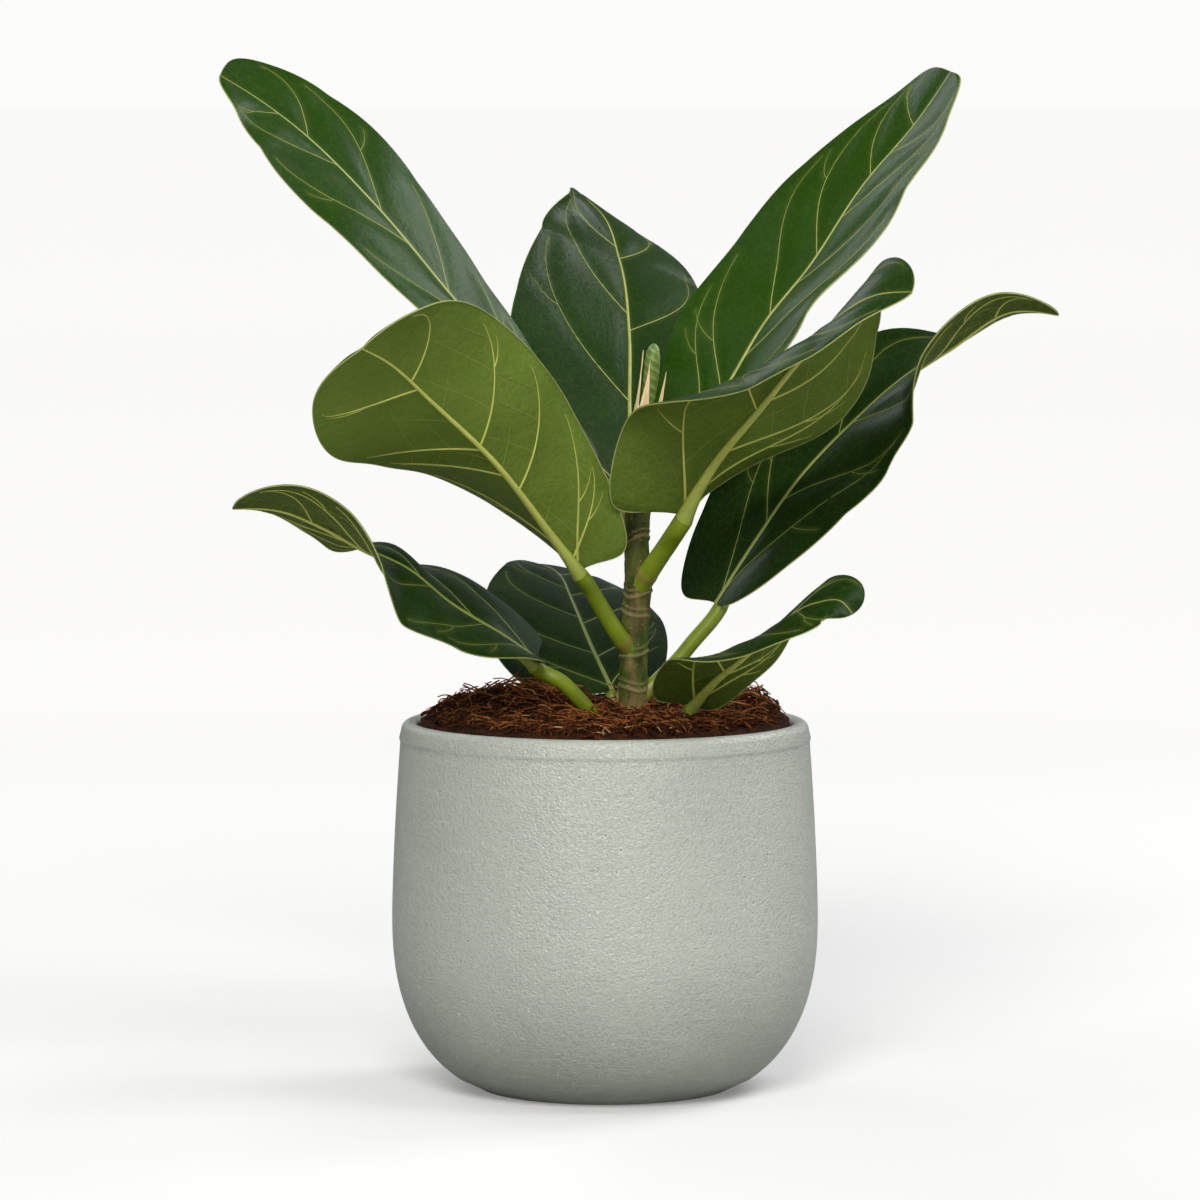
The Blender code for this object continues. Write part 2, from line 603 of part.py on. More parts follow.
def make_sheath(finish):
    """The bud's sheath, open between its scales."""
    floor, hollow = BUD_FLOOR, BUD_FLOOR + BUD_HOLLOW
    highest = max(tip for direction, tip, width in SCALES)
    rings = []
    for inside in (False, True):
        for i in range(SHEATH_RINGS + 1):
            share = i / SHEATH_RINGS
            if inside:
                share = 1 - share
            ring = []
            for j in range(SHEATH_SIDES):
                turn = 2 * math.pi * j / SHEATH_SIDES
                top, lean = scale_top(turn)
                start = hollow if inside else floor
                height = start + (top - start) * share
                rise = (height - floor) / (highest - floor)
                radius = SHEATH_RADII[0] + (SHEATH_RADII[1] - SHEATH_RADII[0]) * rise
                radius += lean * share**2
                if inside:
                    radius -= SHEATH_WALL
                elif share == 1:
                    radius -= SHEATH_WALL / 2
                middle = bud_middle(height)
                ring.append((middle[0] + radius * math.cos(turn),
                             middle[1] + radius * math.sin(turn), height))
            rings.append(ring)
    vertices = [point for ring in rings for point in ring]
    faces = ring_faces(len(rings), SHEATH_SIDES)
    last = len(vertices) - SHEATH_SIDES
    vertices += [tuple(bud_middle(floor)), tuple(bud_middle(hollow))]
    for j in range(SHEATH_SIDES):
        k = (j + 1) % SHEATH_SIDES
        faces.append((len(vertices) - 2, k, j))
        faces.append((len(vertices) - 1, last + j, last + k))
    return solid("bud_sheath", vertices, faces, finish)


def make_new_leaf(finish):
    """The rolled young leaf that stands in the bud."""
    levels = NEW_LEAF_FOOT + (NEW_LEAF_TOP - NEW_LEAF_FOOT) * np.array(NEW_LEAF_LEVELS)
    return tube("new_leaf", bud_middle(levels), NEW_LEAF_RADII, NEW_LEAF_SIDES, finish)


def main():
    for old in list(bpy.data.objects):
        bpy.data.objects.remove(old)

    glaze = material("grey green glaze", (0.42, 0.48, 0.42), 0.45)
    coir = material("coir soil", (0.12, 0.035, 0.012), 0.95)
    bark = material("young bark", (0.16, 0.15, 0.06), 0.6)
    stem = material("leaf stalk", (0.18, 0.30, 0.02), 0.45)
    upper = material("leaf blade", (0.02, 0.09, 0.012), 0.35)
    young = material("young leaf", (0.15, 0.28, 0.04), 0.4)
    scale = material("bud sheath", (0.55, 0.32, 0.14), 0.55)

    turned("pot", pot_profile(), POT_SEGMENTS, glaze)
    soil = make_soil(coir)
    make_trunk("trunk", bark)
    trunk_cutter = make_trunk("trunk_cutter", bark, GAP)
    cut(soil, trunk_cutter)
    for name, leaf in LEAVES.items():
        blade = Blade(leaf)
        make_blade("leaf_" + name, blade, upper)
        stalk = make_stalk("stalk_" + name, leaf, blade, stem)
        cut(stalk, trunk_cutter)
        if name in IN_SOIL:
            cut(soil, make_stalk("stalk_cutter_" + name, leaf, blade, stem, GAP))
    make_sheath(scale)
    make_new_leaf(young)


main()
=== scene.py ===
# Potted bengal fig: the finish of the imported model.
# Lengths are metres. Only the points, widths, lobes and radii of leaves and stalks, the lines
# of trunk and bud and the new leaf's radii are millimetres, with the same shapes as in the
# part's source.

import json
import math

import bpy
import numpy as np
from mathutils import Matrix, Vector, noise

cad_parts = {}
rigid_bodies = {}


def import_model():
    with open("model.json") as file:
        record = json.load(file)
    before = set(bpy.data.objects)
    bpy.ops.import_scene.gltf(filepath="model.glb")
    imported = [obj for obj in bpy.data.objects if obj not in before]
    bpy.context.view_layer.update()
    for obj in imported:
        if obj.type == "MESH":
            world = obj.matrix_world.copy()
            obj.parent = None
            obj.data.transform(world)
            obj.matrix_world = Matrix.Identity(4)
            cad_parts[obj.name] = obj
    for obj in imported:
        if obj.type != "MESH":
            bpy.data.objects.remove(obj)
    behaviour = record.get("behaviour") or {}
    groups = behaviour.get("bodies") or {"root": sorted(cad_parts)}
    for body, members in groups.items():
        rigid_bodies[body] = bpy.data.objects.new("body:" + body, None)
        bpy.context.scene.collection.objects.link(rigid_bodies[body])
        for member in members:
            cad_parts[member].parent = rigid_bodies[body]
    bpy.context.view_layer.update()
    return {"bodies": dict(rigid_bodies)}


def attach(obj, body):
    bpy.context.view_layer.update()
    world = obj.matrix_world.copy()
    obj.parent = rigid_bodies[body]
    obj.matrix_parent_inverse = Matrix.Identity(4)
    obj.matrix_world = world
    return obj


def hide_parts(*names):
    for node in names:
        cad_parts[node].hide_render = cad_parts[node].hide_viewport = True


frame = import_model()
body = list(frame["bodies"])[0]
scene = bpy.context.scene
mm = 0.001
print("frame loaded, pieces ride on", body)


class Look(dict):
    # the changeable values of one piece or finish, read by their names
    def __getattr__(self, name):
        return self[name]


def rgb(red, green, blue):
    # screen colour, 0 to 255, to the linear colour that the shader takes
    linear = [part / 12.92 if part <= 0.04045 else ((part + 0.055) / 1.055)**2.4
              for part in (red / 255, green / 255, blue / 255)]
    return (*linear, 1)


# Small helpers for node trees and meshes

class Nodes:
    # a node tree, with a short call for each kind of node that is used often
    def __init__(self, tree):
        self.tree = tree

    def feed(self, socket, value):
        # a socket takes another node's output or a plain value
        if isinstance(value, bpy.types.NodeSocket):
            self.tree.links.new(value, socket)
        else:
            socket.default_value = value

    def add(self, kind, inputs=None, **settings):
        node = self.tree.nodes.new(kind)
        for key, value in settings.items():
            setattr(node, key, value)
        for key, value in (inputs or {}).items():
            self.feed(node.inputs[key], value)
        return node

    def out(self, kind, inputs=None, **settings):
        return self.add(kind, inputs, **settings).outputs[0]

    def math(self, operation, *values, clamp=False):
        inputs = dict(enumerate(values))
        return self.out("ShaderNodeMath", inputs, operation=operation, use_clamp=clamp)

    def plus(self, first, second, clamp=False):
        return self.math("ADD", first, second, clamp=clamp)

    def less(self, first, second, clamp=False):
        return self.math("SUBTRACT", first, second, clamp=clamp)

    def times(self, first, second):
        return self.math("MULTIPLY", first, second)

    def scaled(self, value, factor, added, clamp=False):
        return self.math("MULTIPLY_ADD", value, factor, added, clamp=clamp)

    def around(self, value, spread, middle=0.0):
        # a value from 0 to 1 becomes one that lies evenly about the middle
        return self.scaled(value, spread, middle - spread / 2)

    def vector(self, operation, first, second, output=0):
        return self.add("ShaderNodeVectorMath", {0: first, 1: second}, operation=operation).outputs[output]

    def combine(self, x, y, z):
        return self.out("ShaderNodeCombineXYZ", {0: x, 1: y, 2: z})

    def separate(self, vector, axis):
        return self.add("ShaderNodeSeparateXYZ", {0: vector}).outputs["XYZ".index(axis)]

    def remap(self, value, low, high, toLow=0.0, toHigh=1.0, **settings):
        # the range from low to high becomes the range from toLow to toHigh
        inputs = {0: value, 1: low, 2: high, 3: toLow, 4: toHigh}
        return self.out("ShaderNodeMapRange", inputs, **settings)

    def mix(self, factor, first, second, blend="MIX"):
        inputs = {0: factor, 6: first, 7: second}
        settings = dict(data_type="RGBA", blend_type=blend, clamp_factor=True)
        return self.add("ShaderNodeMix", inputs, **settings).outputs[2]

    def laid(self, amount, colour, second, share):
        # the second colour over the first, nowhere by more than this share
        return self.mix(self.times(amount, share), colour, second)

    def place(self, kind="Object"):
        return self.add("ShaderNodeTexCoord").outputs[kind]

    def painted(self, name):
        # a value that the mesh holds at each of its points
        return self.add("ShaderNodeAttribute", attribute_name=name).outputs["Fac"]

    def stretched(self, place, height):
        # a pattern on it is drawn out upwards where height is below 1, and round the pot above 1
        return self.out("ShaderNodeMapping", {"Vector": place, "Scale": (1.0, 1.0, height)})

    def noise(self, place, perMetre, detail, **more):
        inputs = {"Vector": place, "Scale": perMetre, "Detail": detail, **more}
        return self.out("ShaderNodeTexNoise", inputs)

    def cells(self, place, perMetre, **settings):
        inputs = {"Vector": place, "Scale": perMetre}
        return self.out("ShaderNodeTexVoronoi", inputs, **settings)

    def dots(self, place, perMetre, inner, outer):
        # 1 inside each dot and 0 outside it, with a soft edge from inner to outer
        return self.remap(self.cells(place, perMetre), inner, outer, 1.0, 0.0)

    def group(self, group, **inputs):
        return self.add("ShaderNodeGroup", inputs, node_tree=group.tree).outputs

    def patches(self, place, size, contrast):
        # soft patches of one size in metres, from 0 to 1
        return self.group(mottle, Vector=place, Size=size, Contrast=contrast)[0]

    def coat(self, shader, colour, height=None, strength=0.0, depth=0.0):
        self.feed(shader["Base Color"], colour)
        if height:
            bump = self.add("ShaderNodeBump", {"Height": height, "Strength": strength, "Distance": depth})
            self.feed(shader["Normal"], bump.outputs[0])

    def circle(self, sides, radius):
        return self.out("GeometryNodeCurvePrimitiveCircle", {"Resolution": sides, "Radius": radius})

    def sweep(self, curve, profile, **more):
        return self.out("GeometryNodeCurveToMesh", {"Curve": curve, "Profile Curve": profile, **more})

    def deliver(self, geometry, material, socket):
        # how every Geometry Nodes tree here ends: smooth faces, real geometry, its material
        smooth = self.out("GeometryNodeSetShadeSmooth", {"Geometry": geometry})
        real = self.out("GeometryNodeRealizeInstances", {"Geometry": smooth})
        coated = self.out("GeometryNodeSetMaterial", {"Geometry": real, "Material": material})
        self.feed(socket, coated)


def newTree(name, kind, outputs, **inputs):
    # a node group with named sockets; an input is given as the number it starts from, or as
    # its kind, and an output as its kind
    tree = bpy.data.node_groups.new(name, kind)
    for label, value in inputs.items():
        socket = value if isinstance(value, str) else {float: "Float", int: "Int"}[type(value)]
        made = tree.interface.new_socket(label, in_out="INPUT", socket_type="NodeSocket" + socket)
        if value != socket:
            made.default_value = value
    for label, socket in outputs.items():
        tree.interface.new_socket(label, in_out="OUTPUT", socket_type="NodeSocket" + socket)
    return Nodes(tree), tree.nodes.new("NodeGroupInput").outputs, tree.nodes.new("NodeGroupOutput").inputs


def newMaterial(name, roughness, specular=0.5):
    made = bpy.data.materials.new(name)
    made.use_nodes = True
    shader = made.node_tree.nodes["Principled BSDF"].inputs
    shader["Roughness"].default_value = roughness
    shader["Specular IOR Level"].default_value = specular
    return made, Nodes(made.node_tree), shader


def linked(name, data):
    made = bpy.data.objects.new(name, data)
    scene.collection.objects.link(made)
    return made


def newMesh(name, points, faces, edges=()):
    mesh = bpy.data.meshes.new(name)
    mesh.from_pydata([tuple(point) for point in np.asarray(points, float).tolist()], list(edges), faces)
    return linked(name, mesh)


def pointValues(obj, name, values):
    obj.data.attributes.new(name, "FLOAT", "POINT").data.foreach_set("value", np.asarray(values).ravel())


def finish(obj, *nodes, slot):
    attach(obj, body)
    if nodes:
        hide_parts(*nodes)


def skinned(name, points, faces, material, **values):
    # a smooth mesh of one material, with values at its points
    made = newMesh(name, points, faces)
    for label, amounts in values.items():
        pointValues(made, label, amounts)
    made.data.materials.append(material)
    made.data.shade_smooth()
    return made


def bands(rows, sides, capped=False):
    # faces between closed rings of points, and over the first and the last ring
    faces = []
    for row in range(rows - 1):
        for j in range(sides):
            k = (j + 1) % sides
            faces.append((row * sides + j, row * sides + k, (row + 1) * sides + k, (row + 1) * sides + j))
    if capped:
        faces += [tuple(range(sides))[::-1], tuple(range((rows - 1) * sides, rows * sides))]
    return faces


def baked(obj, nodes, values):
    # puts a Geometry Nodes tree on the object, and gives back its result as a plain mesh
    modifier = obj.modifiers.new(nodes.tree.name, "NODES")
    modifier.node_group = nodes.tree
    for item in nodes.tree.interface.items_tree:
        if item.in_out == "INPUT" and item.name in values:
            modifier[item.identifier] = values[item.name]
    graph = bpy.context.evaluated_depsgraph_get()
    mesh = bpy.data.meshes.new_from_object(obj.evaluated_get(graph), depsgraph=graph,
                                           preserve_all_data_layers=True)
    obj.modifiers.remove(modifier)
    obj.data = mesh
    return obj


# Shader groups that more than one material uses

mottle, given, result = newTree("mottle", "ShaderNodeTree", {"Factor": "Float"},
                                Vector="Vector", Size=0.02, Contrast=1.0)
perMetre = mottle.math("DIVIDE", 1.0, given["Size"])
broad = mottle.noise(given["Vector"], perMetre, detail=4.0, Roughness=0.55)
mottle.feed(result["Factor"], mottle.scaled(mottle.less(broad, 0.5), given["Contrast"], 0.5, clamp=True))

# the net of the smallest veins, and the blade's swelling between them
netLook = Look(warp=0.0016, warpDetail=2.0, finer=3.1, finerLine=0.10, finerShare=0.35, slope=0.35)
fineNet, given, result = newTree("fineNet", "ShaderNodeTree", {"Lines": "Float", "Height": "Float"},
                                 Vector="Vector", Cell=0.004, Line=0.06)
perMetre = fineNet.math("DIVIDE", 1.0, given["Cell"])
inputs = {"Vector": given["Vector"], "Scale": perMetre, "Detail": netLook.warpDetail}
shift = fineNet.add("ShaderNodeTexNoise", inputs).outputs["Color"]
warp = fineNet.out("ShaderNodeVectorMath", {0: shift, "Scale": netLook.warp}, operation="SCALE")
moved = fineNet.vector("ADD", given["Vector"], warp)
cells = fineNet.cells(moved, perMetre, feature="DISTANCE_TO_EDGE")
finer = fineNet.times(perMetre, netLook.finer)
smallCells = fineNet.cells(moved, finer, feature="DISTANCE_TO_EDGE")
wide = fineNet.remap(cells, 0.0, given["Line"], 1.0, 0.0)
thin = fineNet.remap(smallCells, 0.0, netLook.finerLine, netLook.finerShare, 0.0)
fineNet.feed(result["Lines"], fineNet.math("MAXIMUM", wide, thin))
swelling = fineNet.remap(cells, 0.0, netLook.slope, interpolation_type="SMOOTHSTEP")
fineNet.feed(result["Height"], swelling)
print("shader groups made")


# Materials

leafLook = Look(
    gloss=0.08, through=0.5, throughReach=(0.8, 1.0, 0.3), throughDepth=0.0015,
    # patches: size, contrast, and what they do to the tone and the roughness
    patch=0.035, contrast=1.3, patchTone=0.5, patchRough=0.12,
    # how pale the blade is beside its veins, the net's lines, and the pores
    beside=0.12, netLine=0.07, pores=1400.0, poreDetail=2.0, poreDepth=0.25, strength=0.5,
    top=Look(deep=rgb(20, 40, 15), bright=rgb(34, 68, 2), vein=rgb(150, 160, 70), rough=0.33,
             cell=0.0038, net=0.05, bump=0.00007),
    under=Look(deep=rgb(56, 74, 16), bright=rgb(114, 137, 54), vein=rgb(168, 172, 84), rough=0.62,
               cell=0.0036, net=0.17, bump=0.0002),
)


def leafFinish(name, face):
    made, nodes, shader = newMaterial(name, face.rough, leafLook.gloss)
    # some light comes through the blade
    shader["Subsurface Weight"].default_value = leafLook.through
    shader["Subsurface Radius"].default_value = leafLook.throughReach
    shader["Subsurface Scale"].default_value = leafLook.throughDepth
    place = nodes.place("UV")
    patches = nodes.patches(place, leafLook.patch, leafLook.contrast)
    net = nodes.group(fineNet, Vector=place, Cell=face.cell, Line=leafLook.netLine)
    young = nodes.plus(nodes.painted("tone"), nodes.around(patches, leafLook.patchTone), clamp=True)
    beside = nodes.times(nodes.painted("veinNear"), leafLook.beside)
    pale = nodes.math("MAXIMUM", beside, nodes.times(net["Lines"], face.net))
    colour = nodes.mix(pale, nodes.mix(young, face.deep, face.bright), face.vein)
    nodes.feed(shader["Roughness"], nodes.around(patches, leafLook.patchRough, face.rough))
    pores = nodes.noise(place, leafLook.pores, leafLook.poreDetail)
    height = nodes.scaled(pores, leafLook.poreDepth, net["Height"])
    nodes.coat(shader, colour, height, leafLook.strength, face.bump)
    return made


leafTop = leafFinish("leafTop", leafLook.top)
leafUnder = leafFinish("leafUnder", leafLook.under)


def veinFinish(name, colour, second, rough):
    made, nodes, shader = newMaterial(name, rough)
    patches = nodes.patches(nodes.place(), size=0.006, contrast=1.5)
    base = nodes.laid(patches, colour, second, share=0.5)
    nodes.coat(shader, nodes.mix(nodes.painted("fade"), base, second))
    return made


veinTop = veinFinish("veinTop", rgb(176, 180, 92), rgb(78, 106, 34), rough=0.42)
veinUnder = veinFinish("veinUnder", rgb(212, 214, 110), rgb(134, 152, 54), rough=0.5)
marginPale = veinFinish("marginPale", rgb(176, 178, 112), rgb(96, 112, 48), rough=0.45)

stalkSkin, nodes, shader = newMaterial("stalkSkin", roughness=0.42)
place = nodes.place()
patches = nodes.patches(place, size=0.012, contrast=1.8)
dots = nodes.dots(place, perMetre=700.0, inner=0.12, outer=0.2)
green, yellow, fleck, scar = rgb(94, 116, 14), rgb(136, 152, 30), rgb(170, 176, 110), rgb(132, 104, 58)
colour = nodes.laid(dots, nodes.mix(patches, green, yellow), fleck, share=0.25)
colour = nodes.mix(nodes.painted("fade"), colour, scar)
nodes.coat(shader, colour, nodes.plus(patches, dots), strength=0.3, depth=0.0002)

barkLook = Look(green=rgb(76, 92, 20), olive=rgb(38, 52, 8), tan=rgb(126, 108, 64), brown=rgb(80, 66, 32),
                line=rgb(172, 156, 112), pip=rgb(176, 160, 116))
bark, nodes, shader = newMaterial("bark", roughness=0.6, specular=0.25)
place = nodes.place()
patches = nodes.patches(nodes.stretched(place, height=0.35), size=0.004, contrast=3.4)
broad = nodes.patches(place, size=0.012, contrast=3.0)
greens = nodes.mix(patches, barkLook.olive, barkLook.green)
browns = nodes.mix(patches, barkLook.brown, barkLook.tan)
wood = nodes.plus(nodes.painted("woody"), nodes.around(broad, spread=1.1), clamp=True)
colour = nodes.mix(wood, greens, browns)
colour = nodes.laid(nodes.painted("ring"), colour, barkLook.line, share=0.36)
pips = nodes.dots(place, perMetre=420.0, inner=0.1, outer=0.18)
colour = nodes.laid(pips, colour, barkLook.pip, share=0.4)
nodes.coat(shader, colour, nodes.plus(patches, pips), strength=0.5, depth=0.0004)

sheathSkin, nodes, shader = newMaterial("sheathSkin", roughness=0.5)
streaks = nodes.patches(nodes.stretched(nodes.place(), height=0.12), size=0.0016, contrast=2.0)
colour = nodes.mix(streaks, rgb(232, 184, 118), rgb(252, 234, 194))
greenFoot = nodes.remap(nodes.painted("rise"), low=0.0, high=0.6, toLow=0.5, toHigh=0.0)
colour = nodes.mix(greenFoot, colour, rgb(158, 162, 78))
nodes.coat(shader, colour, streaks, strength=0.4, depth=0.0003)

youngSkin, nodes, shader = newMaterial("youngSkin", roughness=0.42)
patches = nodes.patches(nodes.place(), size=0.003, contrast=2.0)
colour = nodes.mix(patches, rgb(72, 104, 34), rgb(112, 140, 62))
colour = nodes.mix(nodes.painted("seam"), colour, rgb(176, 190, 116))
nodes.coat(shader, colour, patches, strength=0.3, depth=0.0002)


def soilFinish(name, dark, light):
    made, nodes, shader = newMaterial(name, roughness=0.9, specular=0.12)
    place = nodes.place()
    patches = nodes.patches(place, size=0.004, contrast=2.6)
    height = nodes.plus(patches, nodes.noise(place, perMetre=900.0, detail=3.0))
    nodes.coat(shader, nodes.mix(patches, dark, light), height, strength=0.8, depth=0.0008)
    return made


coirBed = soilFinish("coirBed", rgb(22, 11, 4), rgb(72, 38, 14))
coirDark = soilFinish("coirDark", rgb(34, 17, 6), rgb(92, 50, 22))
coirRed = soilFinish("coirRed", rgb(98, 52, 20), rgb(170, 106, 54))
coirPale = soilFinish("coirPale", rgb(158, 110, 62), rgb(212, 168, 116))

# thick is the darker glaze colour that paints shade on the pot's lower part
glazeLook = Look(cool=rgb(173, 180, 170), warm=rgb(182, 186, 175), light=rgb(206, 210, 198),
                 dark=rgb(112, 120, 104), thick=rgb(126, 134, 122), pit=rgb(84, 86, 72),
                 rim=rgb(222, 224, 214), rough=0.37)
glaze, nodes, shader = newMaterial("glaze", glazeLook.rough, specular=0.9)
place = nodes.place()
patches = nodes.patches(place, size=0.035, contrast=1.5)
colour = nodes.mix(patches, glazeLook.cool, glazeLook.warm)
# painted shade: the glaze is darker towards the foot, where the pot's lower part lies in shade
run = nodes.scaled(patches, 0.02, nodes.separate(place, "Z"))
run = nodes.remap(run, low=0.012, high=0.075, toLow=0.5, toHigh=0.0)
colour = nodes.mix(run, colour, glazeLook.thick)
specks = nodes.patches(place, size=0.0016, contrast=2.0)
colour = nodes.mix(nodes.remap(specks, low=0.55, high=1.0, toHigh=0.35), colour, glazeLook.dark)
# small worm-like ridges, and fine scratches that run round the pot
worms = nodes.noise(place, perMetre=640.0, detail=2.0, Distortion=0.3)
ridges = nodes.math("ABSOLUTE", nodes.less(worms, 0.5))
ridges = nodes.remap(ridges, low=0.0, high=0.16, toLow=1.0, toHigh=0.0)
colour = nodes.laid(ridges, colour, glazeLook.light, share=0.2)
scratches = nodes.noise(nodes.stretched(place, height=14.0), perMetre=60.0, detail=3.0)
colour = nodes.mix(nodes.remap(scratches, low=0.55, high=0.72, toHigh=0.3), colour, glazeLook.light)
# a few pits with pale rims
pits = nodes.dots(place, perMetre=190.0, inner=0.05, outer=0.11)
rims = nodes.less(nodes.dots(place, perMetre=190.0, inner=0.12, outer=0.18), pits, clamp=True)
chosen = nodes.patches(place, size=0.008, contrast=6.0)
pits = nodes.times(pits, chosen)
colour = nodes.laid(pits, colour, glazeLook.pit, share=0.75)
colour = nodes.laid(nodes.times(rims, chosen), colour, glazeLook.rim, share=0.5)
nodes.coat(shader, colour, nodes.less(ridges, nodes.times(pits, 1.5)), strength=0.55, depth=0.0004)
nodes.feed(shader["Roughness"], nodes.around(patches, spread=0.12, middle=glazeLook.rough))
print("materials made")


# Geometry Nodes: a tube along each path, as thick as its points say

tubeAlong, given, result = newTree("tubeAlong", "GeometryNodeTree", {"Tubes": "Geometry"},
                                   Paths="Geometry", Sides=8, Material="Material")
paths = tubeAlong.out("GeometryNodeMeshToCurve", {"Mesh": given["Paths"]})
thick = tubeAlong.out("GeometryNodeInputNamedAttribute", {"Name": "thick"}, data_type="FLOAT")
ring = tubeAlong.circle(given["Sides"], 1.0)
swept = tubeAlong.sweep(paths, ring, **{"Scale": thick, "Fill Caps": True})
tubeAlong.deliver(swept, given["Material"], result[0])


def tubes(name, paths, sides, material):
    # paths: the points of each line, its thickness there, and its fade, which is the share of
    # the material's last colour
    points, edges, thickness, fades = [], [], [], []
    for line, radii, fade in paths:
        start = len(points)
        points += list(line)
        edges += [(start + k, start + k + 1) for k in range(len(line) - 1)]
        thickness += list(radii)
        fades += list(np.broadcast_to(fade, len(line)))
    made = newMesh(name, points, [], edges)
    pointValues(made, "thick", thickness)
    pointValues(made, "fade", fades)
    return baked(made, tubeAlong, {"Sides": sides, "Material": material})


# Leaves: the same rule as in the part's source, on a finer mesh

